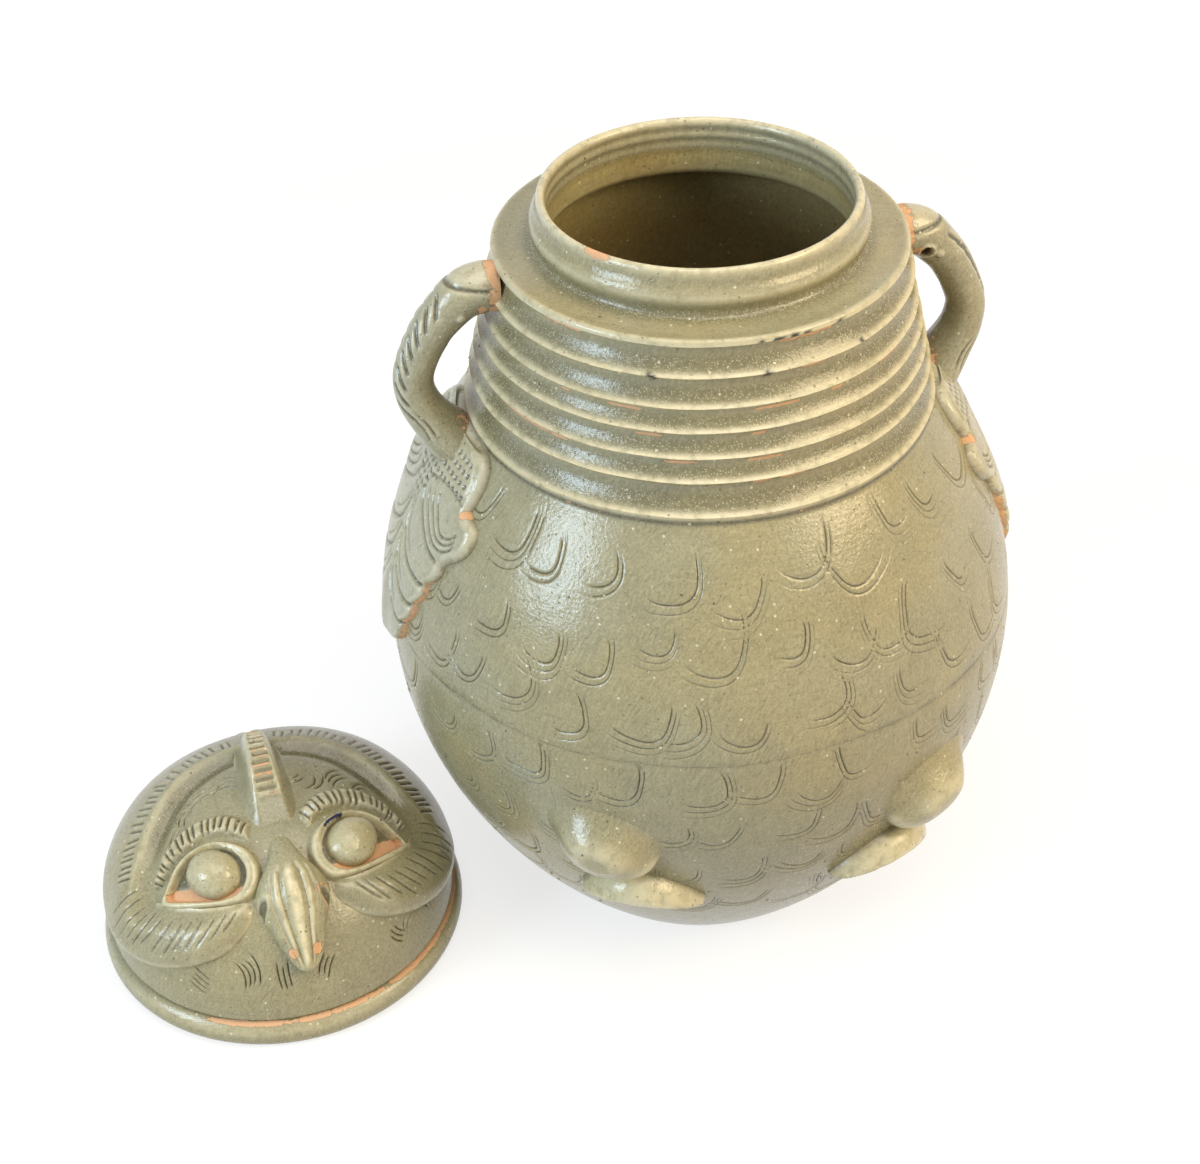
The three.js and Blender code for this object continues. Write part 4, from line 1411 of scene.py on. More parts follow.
@dataclass
class OwlLeg:
    """One thigh of the owl and the crescent foot under it.

    Attributes:
        form: the jar that they are luted on.
        side: which side they are on.
        thigh_azimuth: where round the jar the thigh's middle is.
        thigh_height: how high.
        thigh_half: half width and half height of the thigh.
        thigh_proud: how far it stands out.
        foot_azimuth: where round the jar the foot's middle is.
        foot_height: how high.
        foot_half: half width and half height of the foot.
        foot_proud: how far it stands out.
    """

    form: JarForm
    side: Side
    thigh_azimuth: float = 31.5
    thigh_height: float = 99.0
    thigh_half: tuple[float, float] = (19.6, 15.6)
    thigh_proud: float = 10.6
    foot_azimuth: float = 26.0
    foot_height: float = 70.5
    foot_half: tuple[float, float] = (24.0, 9.6)
    foot_proud: float = 10.0

    def thigh(self) -> Surface:
        """The smooth egg of the thigh, its upper edge drawn down on the wall."""
        wide, tall = self.thigh_half
        lean = 0.34 * self.side.value
        turn = circle(120)
        outline = np.column_stack([
            1.16 * wide * np.cos(turn) * (1 + 0.1 * np.sin(turn)), 1.16 * tall * np.sin(turn)])
        outline[:, 0] += lean * outline[:, 1] * 0.6
        outline[:, 1] += self.thigh_height

        def form(flat: Array, depth: Array) -> Array:
            """Height of the egg, full below and soft above."""
            up = (flat[:, 1] - self.thigh_height) / tall
            aside = (flat[:, 0] - lean * 0.6 * up * tall) / (wide * (1 + 0.1 * up))
            away = np.hypot(aside, up)
            dome = np.sqrt(np.clip(1 - (away / 1.04) ** 2, 0, 1))
            soft = ramp(1.15, 0.25, away)
            above = ramp(-0.6, 0.2, up)
            full = self.thigh_proud * (dome * (1 - above) + 1.06 * soft * above) * (1 - 0.12 * up)
            return full - 0.4 * ramp(2.5, 0, depth)

        def tones(flat: Array, depth: Array) -> dict[Tone, Array]:
            """Darker, browner and more speckled along the lower edge."""
            below = ramp(self.thigh_height + 7, self.thigh_height - 4, flat[:, 1])
            return {Tone.POOL: 0.7 * below * bell(depth, 0, 4),
                    Tone.GROOVE: 0.5 * below * bell(depth, 0, 0.7),
                    Tone.THIN: 0.16 * ramp(6, 14, depth)}

        place = self.form.patch(self.thigh_azimuth * self.side.value)
        return Relief(outline, form, place, [], tones, 1.0, sink=0.7, foot=0.0).surface()

    def foot(self) -> Surface:
        """The crescent foot, with a claw cut off at its inner end."""
        wide, tall = self.foot_half
        turn = circle(130)
        across = np.cos(turn)
        thick = np.where(np.sin(turn) > 0, 0.66, 0.6) * np.sin(turn)
        bow = 1.2 * (1 - across**2) - 0.72
        rise = 0.9 * bow + thick * (1 - 0.35 * across**4)
        outline = np.column_stack([wide * across, self.foot_height + tall * rise])
        origin = np.array([0, self.foot_height])
        slit = Crease(np.array([[-20.4, -7.0], [-17.2, -4.6], [-12.8, -3.6]]) + origin, 0.6, 1.6, 0.2, 1.0)
        knuckle = Crease(np.array([[-11.0, 1.2], [-9.4, 4.4], [-9.2, 7.4]]) + origin, 1.4, 0.7, 0.3, 0.3)
        flip = np.array([self.side.value, 1])
        creases = [crease.turned(flip) for crease in (slit, knuckle)]

        def form(flat: Array, depth: Array) -> Array:
            """Height of the crescent, undercut below."""
            body = np.sqrt(np.clip(1 - (1 - np.clip(depth / 6.4, 0, 1)) ** 2, 0, 1))
            return self.foot_proud * body * (1 - 0.35 * (flat[:, 0] / wide) ** 2)

        def tones(flat: Array, depth: Array) -> dict[Tone, Array]:
            """Darker along the crescent's lower edge, and clay laid bare on the right-hand one."""
            low = bell(depth, 0, 2.6) * (flat[:, 1] < self.foot_height)
            bare = 0.6 * ramp(4, 14, flat[:, 0]) * ramp(1, 4, depth) if self.side is Side.RIGHT else 0 * low
            return {Tone.POOL: low, Tone.THIN: 0.75 * ramp(1, 4.5, depth), Tone.BARE: bare}

        place = self.form.patch(self.foot_azimuth * self.side.value)
        return Relief(outline * flip, form, place, creases, tones, 0.75, sink=0.7).surface()

    def build(self, glaze: bpy.types.Material, pale: bpy.types.Material) -> None:
        """Builds the thigh and the foot.

        Args:
            glaze: finish of the thigh.
            pale: finish of the foot.
        """
        for part, surface, material in (("thigh", self.thigh(), glaze), ("foot", self.foot(), pale)):
            Piece(f"{part}_{self.side.word}", "jar", [material]).build(surface)


RUFF_INNER = (
    (180, 19.6), (165, 20.6), (150, 22), (135, 24.2), (117, 28.4), (100, 33.4), (88.5, 38.6), (77.6, 45),
    (70.5, 51.3), (63.5, 53.6), (57, 51.4), (50, 50.2), (39, 47.6), (28.6, 45.2), (20, 43.6),
)


@dataclass
class LidForm:
    """Outside of the thrown lid, which every piece of the owl's face follows.

    Attributes:
        centre: where the lid stands.
        turn: degrees that its face is turned.
        rim_radius: radius of the rim roll.
        rim_height: its height.
        rim_width: how wide its underside is.
        dome_radius: radius of the dome's foot.
        dome_base: height of the dome's foot.
        dome_rise: height of the dome over its foot.
        wall: thickness of the dome.
        scale: flat millimetres for a degree down from the dome's top.
        valley: depth and half width of the valley round the face.
        bare_corner: flat place in the right eye socket from which the clay is bare down to its corner.
    """

    centre: tuple[float, float] = (-177.0, -10.1)
    turn: float = 5.0
    rim_radius: float = 72.7
    rim_height: float = 12.5
    rim_width: float = 10.4
    dome_radius: float = 69.4
    dome_base: float = 14.0
    dome_rise: float = 58.0
    wall: float = 6.0
    scale: float = 1.187
    valley: tuple[float, float] = (2.2, 4.6)
    bare_corner: tuple[float, float] = (27.8, -32.3)

    def world(self, points: Array) -> Array:
        """Puts points of the lid's own frame into the row frame.

        Args:
            points: places with the face towards -Y and the lid's axis at the origin.

        Returns:
            The places in the row frame.
        """
        turn = math.radians(self.turn)
        turned = points @ np.array([[math.cos(turn), math.sin(turn), 0], [-math.sin(turn), math.cos(turn), 0],
                                    [0, 0, 1]])
        return turned + [*self.centre, 0]

    def flat(self, outline: list[tuple[float, float]] | Array) -> Array:
        """Draws places on the dome flat.

        Args:
            outline: degrees round from the face's middle and degrees down from the top.

        Returns:
            The flat places.
        """
        given = np.array(outline, float)
        turn = np.radians(given[:, 0])
        return self.scale * given[:, 1:] * np.column_stack([np.sin(turn), -np.cos(turn)])

    def strayed(self, points: Array) -> Array:
        """Moves points by the unevenness of the thrown dome.

        Args:
            points: places in the lid's own frame.

        Returns:
            The moved places.
        """
        inward = 0.5 * (0.5 + 0.4 * lattice(points, 55.0, 14) + 0.1 * lattice(points, 14.0, 15))
        away = points - [0, 0, self.dome_base * 0.5]
        length = np.maximum(np.linalg.norm(away, axis=1), 1e-6)
        keep = ramp(3, 9, points[:, 2])
        return points - away / length[:, None] * (inward * keep)[:, None]

    def hollow(self, flat: Array) -> Array:
        """How deep the valley between the face and its band of feathers is.

        Args:
            flat: flat points.

        Returns:
            The depth at each.
        """
        own = np.column_stack([np.abs(flat[:, 0]), flat[:, 1]])
        azimuth = azimuth_of(own)
        line = spline(self.flat(RUFF_INNER), 60)
        depth, width = self.valley
        shape = depth * bell(line_gap(own, line)[0], 0, width)
        return shape * ramp(66, 92, azimuth) * ramp(172, 150, azimuth)

    def own(self, flat: Array, lift: Array) -> Array:
        """Lays flat points on the dome, in the lid's own frame.

        Args:
            flat: flat points.
            lift: how far each stands off the dome, square to it.

        Returns:
            The places.
        """
        lift = lift - self.hollow(flat)
        away = np.hypot(flat[:, 0], flat[:, 1])
        down = np.radians(away / self.scale)
        side = flat / np.maximum(away, 1e-9)[:, None]
        normal = np.column_stack([np.sin(down) / self.dome_radius, np.cos(down) / self.dome_rise])
        normal /= np.linalg.norm(normal, axis=1)[:, None]
        radius = self.dome_radius * np.sin(down) + lift * normal[:, 0]
        height = self.dome_base + self.dome_rise * np.cos(down) + lift * normal[:, 1]
        return self.strayed(np.column_stack([radius * side[:, 0], radius * side[:, 1], height]))

    def place(self, flat: Array, lift: Array) -> Array:
        """Lays flat points on the dome, in the row frame."""
        return self.world(self.own(flat, lift))

    def past_corner(self, own: Array) -> Array:
        """How far flat points of the right eye socket lie past the place where the clay is bare."""
        side, front = self.bare_corner
        return front - own[:, 1] + 0.4 * (own[:, 0] - side)

    def luted(self, points: Array, around: int, tones: dict[Tone, Array]) -> Surface:
        """Makes a closed piece of rings of points in the lid's own frame, and lutes it on the dome.

        Args:
            points: the points, ring by ring.
            around: points in each ring.
            tones: their values.

        Returns:
            The piece in the row frame.
        """
        rings = Surface(self.seated(points, 0.8), ring_faces(len(points) // around, around), tones)
        closed = capped(rings, around)
        return replace(closed, points=self.world(closed.points))

    def seated(self, points: Array, sink: float) -> Array:
        """Keeps points from reaching deeper into the dome than a luted piece does.

        Args:
            points: places in the lid's own frame.
            sink: how deep the piece reaches.

        Returns:
            The places, with deeper ones brought back.
        """
        away = points - [0, 0, self.dome_base]
        aside = (away[:, 0] ** 2 + away[:, 1] ** 2) / self.dome_radius**2
        share = np.sqrt(aside + (away[:, 2] / self.dome_rise) ** 2)
        limit = 1 - sink / self.dome_rise
        return [0, 0, self.dome_base] + away * np.maximum(1, limit / np.maximum(share, 1e-6))[:, None]


RIGHT_EYE_OPENING = (
    (55.6, 49.6), (56.6, 44.6), (57.4, 39), (55.8, 33.6), (49.4, 29), (39, 27.4), (28.8, 29.2), (22.8, 33.2),
    (22.6, 37.6), (26.4, 41.3), (34.4, 43.9), (45, 46.4),
)


@dataclass
class LidShell:
    """The thrown lid with its rim roll and combed marks.

    Attributes:
        form: its outside.
        around: points in each turned ring.
        skirt: degrees down from the top where the combed skin ends.
        marks: groups of comb cuts as degrees round, degrees down, tilt, bend, teeth and length.
        tooth_gap: distance between the cuts of a group.
    """

    form: LidForm
    around: int = 300
    skirt: float = 84.0
    marks: tuple[tuple[float, float, float, float, int, float], ...] = (
        (-37, 74, 62, 0.2, 4, 10), (-21, 69, 20, -0.9, 4, 13), (-8, 71, 4, 0.15, 3, 12),
        (6, 71, -28, 0.3, 3, 10), (34, 73, 40, 0.4, 3, 8), (38, 74, -42, 0.4, 2, 8), (50, 75, 30, -0.8, 3, 9),
        (66, 76, 50, -0.9, 3, 9), (-109, 13.5, 20, 1.0, 3, 9), (-100, 23, 35, 0.8, 3, 9),
        (-88, 28, 45, 0.9, 3, 8), (-76, 33, 52, 0.5, 3, 7), (84, 15, 60, 0.9, 2, 9), (88, 24, 40, -0.7, 3, 9),
        (98, 10, 5, 0.5, 2, 7), (80, 33, 30, -0.9, 2, 8), (-150, 62, 15, 0.8, 3, 11),
        (-118, 68, -20, -0.8, 3, 11), (-84, 80, 30, 0.5, 3, 9), (112, 74, 20, 0.8, 3, 10),
        (146, 66, -25, 0.8, 3, 11), (178, 60, 5, 0.9, 3, 11), (160, 40, 15, 0.9, 3, 9),
        (-158, 34, -10, 0.9, 3, 9),
    )
    tooth_gap: float = 2.6

    def strokes(self) -> list[Array]:
        """Comb cuts on the dome, flat, with the share of the full cut as third column."""
        rng = np.random.default_rng(12)
        lines = []
        for round_, down, tilt, bend, teeth, length in self.marks:
            middle = self.form.flat([(round_, down)])[0]
            up = -middle / np.linalg.norm(middle)
            side = np.array([-up[1], up[0]])
            angle = math.radians(tilt)
            along = math.cos(angle) * up + math.sin(angle) * side
            across = np.array([-along[1], along[0]])
            for tooth in range(teeth):
                share = np.linspace(-1, 1, 12)
                reach_out = length / 2 * rng.uniform(1.0, 1.4)
                offset = (tooth - (teeth - 1) / 2) * self.tooth_gap + bend * 3.2 * (1 - share**2)
                flat = middle + np.outer(share * reach_out + rng.uniform(-1, 1), along)
                flat = flat + np.outer(offset, across)
                strength = ramp(0, 0.35, 1 - np.abs(share))
                lines.append(np.column_stack([flat, np.maximum(strength, 0.08)]))
        return lines

    def combed(self) -> Surface:
        """The dome from its top to the skirt, with the comb cuts, the bare floors of the eye sockets, painted
        shade in the sockets, and thick glaze with painted shade in the valley round the face.
        """
        form = self.form
        edge_radius = form.scale * self.skirt
        turn = circle(self.around)
        border = edge_radius * np.column_stack([np.sin(turn), -np.cos(turn)])
        edges = [(k, (k + 1) % self.around) for k in range(self.around)]
        comb = Comb(half_width=0.66, depth=0.85)

        def inside(flat: Array) -> Array:
            """How deep flat points lie inside the skirt."""
            return edge_radius - np.hypot(flat[:, 0], flat[:, 1])

        def stretch(flat: Array) -> Array:
            """Flat millimetres across for a true one, nearly the same all over the dome."""
            return np.ones(len(flat))

        flat, faces, cut = CombedSkin(comb, 1.7).build(border, edges, inside, self.strokes(), stretch)
        opening = spline(form.flat(RIGHT_EYE_OPENING), 80, closed=True)
        own = np.abs(flat) * [1, -1]
        socket = ramp(-1.5, 0.2, depth_inside(own, opening)) * (flat[:, 1] < 0)
        corner = ramp(3.5, 7.5, form.past_corner(own))
        valley = ramp(0.4, 2.0, form.hollow(flat))
        # Away from the bare corner the sockets are darkened as painted shade round the balls; the valley is
        # darkened as thick glaze and painted shade.
        tones = {Tone.GROOVE: np.maximum.reduce([0.85 * cut, 0.62 * socket * (1 - corner), 0.34 * valley]),
                 Tone.BARE: socket * corner, Tone.POOL: valley}
        return Surface(form.place(flat, -comb.depth * cut), faces, tones)

    def turned(self) -> Surface:
        """The rim roll, the groove over it and the hollow below, as turned rings."""
        form = self.form
        half = form.rim_height / 2
        middle, hollow = form.rim_radius - half, form.rim_radius - form.rim_width
        down = np.radians(np.linspace(self.skirt, 90, 7))
        rings = [(form.dome_radius * math.sin(angle), form.dome_base + form.dome_rise * math.cos(angle),
                  0, 0, 0) for angle in down]
        rings += [(69.2, 13.6, 0, 0, 0.5), (68.5, 13.2, 0, 0, 1), (67.6, 12.9, 0, 0, 1),
                  (67.2, 12.5, 0, 0.4, 0.8)]
        for angle in np.radians(np.linspace(84, -66, 30)):
            thin = 0.35 * math.exp(-((angle - 0.5) / 0.35) ** 2)
            bare = math.exp(-((angle - 1.08) / 0.24) ** 4)
            rings.append((middle + half * math.cos(angle), half + half * math.sin(angle), thin, bare, 0))
        rings += [(middle, 0, 0, 0.6, 0), (64.4, 0, 0, 0.6, 0), (hollow, 0.3, 0, 0.6, 0)]
        inner_from = len(rings)
        inside = [(min((form.dome_radius - form.wall) * math.sin(angle), hollow - 0.2),
                   form.dome_base + (form.dome_rise - form.wall) * math.cos(angle), 0, 0, 0)
                  for angle in np.radians(np.linspace(90, 0, 44))]
        rings += [(hollow - 0.2, 3, 0, 0.2, 0), *inside]
        table = np.array(rings)
        turn = circle(self.around)
        points = turned_rings(table, turn)
        thin, bare, dark = (np.repeat(table[:, column], self.around) for column in (2, 3, 4))
        azimuth = azimuth_of(points)
        front = ramp(-42, -30, azimuth) * ramp(122, 100, azimuth) * (0.74 + 0.5 * rough(points, 8.0, 61))
        on_roll = points[:, 2] > 5
        bare = np.clip(np.where(on_roll, bare * front, bare), 0, 1)
        tones = {Tone.THIN: thin, Tone.BARE: bare, Tone.GROOVE: dark}
        faces = ring_faces(len(table), self.around)
        inner = [i >= inner_from for i in range(len(table) - 1) for _ in range(self.around)]
        return Surface(form.world(form.strayed(points)), faces, tones, inner)

    def build(self, glaze: bpy.types.Material, inside: bpy.types.Material) -> None:
        """Builds the shell.

        Args:
            glaze: finish of the outside.
            inside: finish of the hollow.
        """
        surface = self.combed().joined(self.turned())
        Piece("lid_shell", "lid", [glaze, inside], passes=0).build(surface)


@dataclass
class FaceFeathers:
    """Combed band of feathers round one side of the face, which swells into the cheek.

    Attributes:
        form: the lid that it is luted on.
        side: which side it is on.
        inner: inner edge from behind the crest to the cheek's tip, as degrees round and down.
        outer: outer edge from the cheek's tip back to behind the crest.
        thickness: its thickness.
    """

    form: LidForm
    side: Side
    inner: Line = RUFF_INNER
    outer: Line = (
        (17.6, 47.6), (20.5, 53.5), (27, 61), (36, 67), (46, 72), (57, 76), (70, 78), (84, 77), (100, 73),
        (118, 66), (137, 57), (155, 47), (168, 42), (180, 40.5),
    )
    thickness: float = 3.9

    def strokes(self) -> list[Crease]:
        """Combed cuts across the band, short behind the head and long on the cheek."""
        rng = np.random.default_rng(30 + self.side.value)
        inner, outer = np.array(self.inner[::-1]), np.array(self.outer)
        creases = []
        valley = spline(self.form.flat(self.inner[:9]), 200)
        along = np.gradient(valley, axis=0)
        away = np.column_stack([-along[:, 1], along[:, 0]])
        away *= np.sign((away * valley).sum(1))[:, None] / np.linalg.norm(away, axis=1)[:, None]
        length_at = walked(valley)
        position = 8.0
        while position < length_at[-1] - 3:
            k = int(np.searchsorted(length_at, position))
            share = position / length_at[-1]
            start, length = rng.uniform(6.0, 7.5) + 1.5 * share, rng.uniform(6.5, 9.5) + 4.0 * share
            ends = valley[k] + np.outer([start, start + 0.5 * length, start + length], away[k])
            ends[1:] += np.outer([0.5, 1], rng.uniform(-0.6, 0.6) * along[k] / np.linalg.norm(along[k]))
            creases.append(Crease(spline(ends, 10), rng.uniform(0.42, 0.56),
                                  rng.uniform(0.7, 1.0), 0.2, 0.9))
            position += rng.uniform(2.3, 3.3)
        angle = 73.0
        while angle > 24:
            low = float(np.interp(angle, inner[:, 0], inner[:, 1]))
            high = float(np.interp(angle, outer[:, 0], outer[:, 1]))
            cheek = float(ramp(86, 70, angle))
            start = low + (high - low) * (0.26 + rng.uniform(-0.05, 0.05) - 0.14 * cheek)
            end = low + (high - low) * (0.62 + 0.16 * cheek + rng.uniform(-0.08, 0.1))
            sway = rng.uniform(-0.8, 0.8) + 5.0 * cheek
            middle = (angle + 0.4 * sway, (start + end) / 2)
            line = self.form.flat([(angle, start), middle, (angle + sway, end)])
            creases.append(Crease(spline(line, 10), rng.uniform(0.42, 0.56) - 0.1 * cheek,
                                  rng.uniform(0.7, 1.0) - 0.4 * cheek, 0.2, 0.9))
            angle -= rng.uniform(2.9, 4.0) + 0.6 * cheek
        return creases

    def surface(self) -> Surface:
        """The band as one closed surface."""
        form, flip = self.form, np.array([self.side.value, 1])
        outline = spline(form.flat(self.inner + self.outer), 300, closed=True)
        valley = spline(form.flat(self.inner), 90)
        border = spline(form.flat(self.inner[-1:] + self.outer), 150)

        def rise(flat: Array, depth: Array) -> Array:
            """Height of the band, hollow towards the face and full at its outer edge."""
            own = flat * flip
            angle = azimuth_of(own)
            cheek = ramp(90, 62, angle)
            within, without = line_gap(own, valley)[0], line_gap(own, border)[0]
            share = within / np.maximum(within + without, 1e-6)
            full = (self.thickness - 1.0 * ramp(125, 165, angle)) * (1 - cheek)
            full = (full + (self.thickness + 2.7) * cheek) * (0.3 + 0.7 * ramp(15, 38, angle))
            wall = ramp(0, 6 + 5 * ramp(88, 64, angle), within) * (1 - cheek)
            under = 0.5 * ramp(66, 57, angle)
            wall += (under + (1 - under) * ramp(0, 0.45, share)) * cheek
            return full * (0.06 + 0.94 * wall) * rounded(without, 1.0, 2.4 + 5.6 * cheek) - 0.5

        def tones(flat: Array, depth: Array) -> dict[Tone, Array]:
            """Glaze lying thick along the outer foot of the band, thick glaze and painted shade in the valley
            of its inner edge, and painted shade on the band's back, deepest on the right.
            """
            own = flat * flip
            angle = azimuth_of(own)
            within = line_gap(own, valley)[0]
            # Painted shade on the back of the band, deepest on the right-hand side, which faces away from the
            # lamps.
            shade = (0.8 if self.side is Side.RIGHT else 0.3) * ramp(98, 122, angle)
            # Thick glaze and painted shade in the valley along the inner edge.
            low = ramp(6.5, 1.5, within) * ramp(72, 92, angle)
            return {Tone.POOL: np.maximum.reduce([0.6 * bell(line_gap(own, border)[0], 0, 1.2), low, shade]),
                    Tone.GROOVE: 0.34 * low}

        creases = [crease.turned(flip) for crease in self.strokes()]
        return Relief(outline * flip, rise, form.place, creases, tones, 0.72, sink=0.8, foot=0.0).surface()

    def build(self, glaze: bpy.types.Material) -> None:
        """Builds the band in its glaze."""
        Piece(f"lid_ruff_{self.side.word}", "lid", [glaze]).build(self.surface())


@dataclass
class Brow:
    """Notched brow over one eye.

    Attributes:
        form: the lid that it is luted on.
        side: which side it is on.
        outer: outer edge from the nose to the temple, as degrees round and down.
        inner: inner edge back to the nose.
        thickness: its thickness.
        notches: how many notches are cut across it.
    """

    form: LidForm
    side: Side
    outer: Line = (
        (24, 16), (40, 14.6), (57, 15), (72, 19), (79.5, 28), (77, 37.6), (72.5, 45), (67.5, 51.5),
    )
    inner: Line = ((62, 48), (62.6, 41.5), (61, 34), (56, 27.6), (42, 23.6), (23, 23.6))
    thickness: float = 3.2
    notches: int = 17

    def surface(self) -> Surface:
        """The brow as one closed surface."""
        form, flip = self.form, np.array([self.side.value, 1])
        outer = spline(form.flat(self.outer), 60)
        inner = spline(form.flat(self.inner), 60)[::-1]
        outline = spline(form.flat(self.outer + self.inner), 150, closed=True)
        rng = np.random.default_rng(70 + self.side.value)
        creases = []
        for k in range(self.notches):
            at = int(3 + 53 * (k + rng.uniform(-0.15, 0.15)) / (self.notches - 1))
            near = min(59, at + 3)
            start = outer[at] + 0.05 * (inner[at] - outer[at])
            end = outer[near] + rng.uniform(0.72, 0.92) * (inner[near] - outer[near])
            line = spline([start, (start + end) / 2 + rng.uniform(-0.2, 0.2, 2), end], 8)
            creases.append(Crease(line * flip, rng.uniform(0.42, 0.58), rng.uniform(1.0, 1.3), 0.18, 0.75))

        def rise(flat: Array, depth: Array) -> Array:
            """Height of the brow, which swells softly out of the forehead."""
            own = flat * flip
            azimuth = azimuth_of(own)
            return swell(depth, self.thickness * ramp(14, 44, azimuth), 4.2)

        return Relief(outline * flip, rise, form.place, creases, None, 0.55, sink=0.8, foot=0.0).surface()

    def build(self, glaze: bpy.types.Material) -> None:
        """Builds the brow in its glaze."""
        Piece(f"lid_brow_{self.side.word}", "lid", [glaze]).build(self.surface())


@dataclass
class Eye:
    """Almond lid and ball of one eye.

    Attributes:
        form: the lid that they are luted on.
        side: which side they are on.
        outline: outer edge of the almond, as degrees round and down.
        thickness: thickness of the almond.
        ball_radius: radius of the ball.
        ball_side: how far to the side the ball stands.
        ball_front: how far to the front.
        ball_oval: shares of its radius that it measures down the dome and square to it.
    """

    form: LidForm
    side: Side
    outline: Line = (
        (57.8, 53), (60, 45.7), (61.8, 38.9), (59.8, 32), (51.8, 26.5), (38, 24.4), (23.2, 25.8), (15.1, 31),
        (14.6, 37.2), (19.2, 42.6), (29, 45.7), (42, 49), (51.4, 52.1),
    )
    thickness: float = 4.2
    ball_radius: float = 11.4
    ball_side: float = 26.6
    ball_front: float = 30.8
    ball_oval: tuple[float, float] = (0.85, 0.78)

    def almond(self) -> Surface:
        """The almond ring, its upper side doubled by a groove."""
        form, flip = self.form, np.array([self.side.value, 1])
        ring = grown(spline(form.flat(self.outline), 150, closed=True), 0.9)
        hole = spline(form.flat(RIGHT_EYE_OPENING), 110, closed=True)
        above = self.form.flat([(22, 31.5), (30, 27.6), (42, 26.6), (52.5, 31), (57, 39), (57, 46)])
        fold = Crease(spline(above, 40) * flip, 0.6, 0.8, 0.15, 0.35)

        def rise(flat: Array, depth: Array) -> Array:
            """Height of the ring, steep towards the ball and soft towards the face."""
            own = flat * flip
            within, without = -depth_inside(own, hole), depth_inside(own, ring)
            return swell(without, self.thickness, 3.0) * rounded(within, 1.0, 1.3)

        def tones(flat: Array, depth: Array) -> dict[Tone, Array]:
            """Bare clay inside the lower corner, painted shade round the rest of the opening, and a slip of
            dark pigment over the right eye.
            """
            own = flat * flip
            within = bell(depth_inside(own, hole), 0, 1.1)
            corner = ramp(4, 8, form.past_corner(own))
            # Away from the bare corner the rim of the opening is darkened as painted shade round the ball.
            result = {Tone.BARE: 0.75 * within * corner, Tone.POOL: 0.7 * within * (1 - corner)}
            if self.side is Side.RIGHT:
                slip = Crease(form.flat([(31, 26.9), (38, 26.2), (45, 26.8), (50, 28.4)]), 0.7, 1, 0.15)
                result[Tone.INK] = ramp(0.35, 0.6, slip.share(flat))
            return result

        return Relief(ring * flip, rise, form.place, [fold], tones, 0.55, hole * flip, 0.8, 0.0).surface()

    def ball(self) -> Surface:
        """The ball, pressed on the dome."""
        form = self.form
        away = math.hypot(self.ball_side, self.ball_front)
        rise = form.dome_base + form.dome_rise * math.sqrt(1 - (away / form.dome_radius) ** 2) - 0.5
        around, rings = 72, 48
        turn = circle(around)
        steps = np.linspace(0.05, math.pi - 0.05, rings)
        unit = np.vstack([np.column_stack([math.sin(t) * np.cos(turn), math.sin(t) * np.sin(turn),
                                           np.full(around, math.cos(t))]) for t in steps])
        dents = 0.45 * rough(unit * 20, 11.0, 80 + self.side.value)
        points = unit * (self.ball_radius - 0.35 + dents)[:, None] * [1, *self.ball_oval]
        tilt = math.asin(away / form.dome_radius)
        lean = Matrix.Rotation(math.atan(form.dome_rise / form.dome_radius * math.tan(tilt)), 3, "X")
        swing = Matrix.Rotation(self.side.value * math.atan2(self.ball_side, self.ball_front), 3, "Z")
        points = points @ np.array(swing @ lean).T
        points += [self.side.value * self.ball_side, -self.ball_front, rise]
        return form.luted(points, around, {Tone.THIN: np.full(len(points), 0.3)})

    def build(self, pale: bpy.types.Material) -> None:
        """Builds the almond and the ball in their glaze."""
        Piece(f"lid_eyelid_{self.side.word}", "lid", [pale]).build(self.almond())
        Piece(f"lid_eyeball_{self.side.word}", "lid", [pale]).build(self.ball())


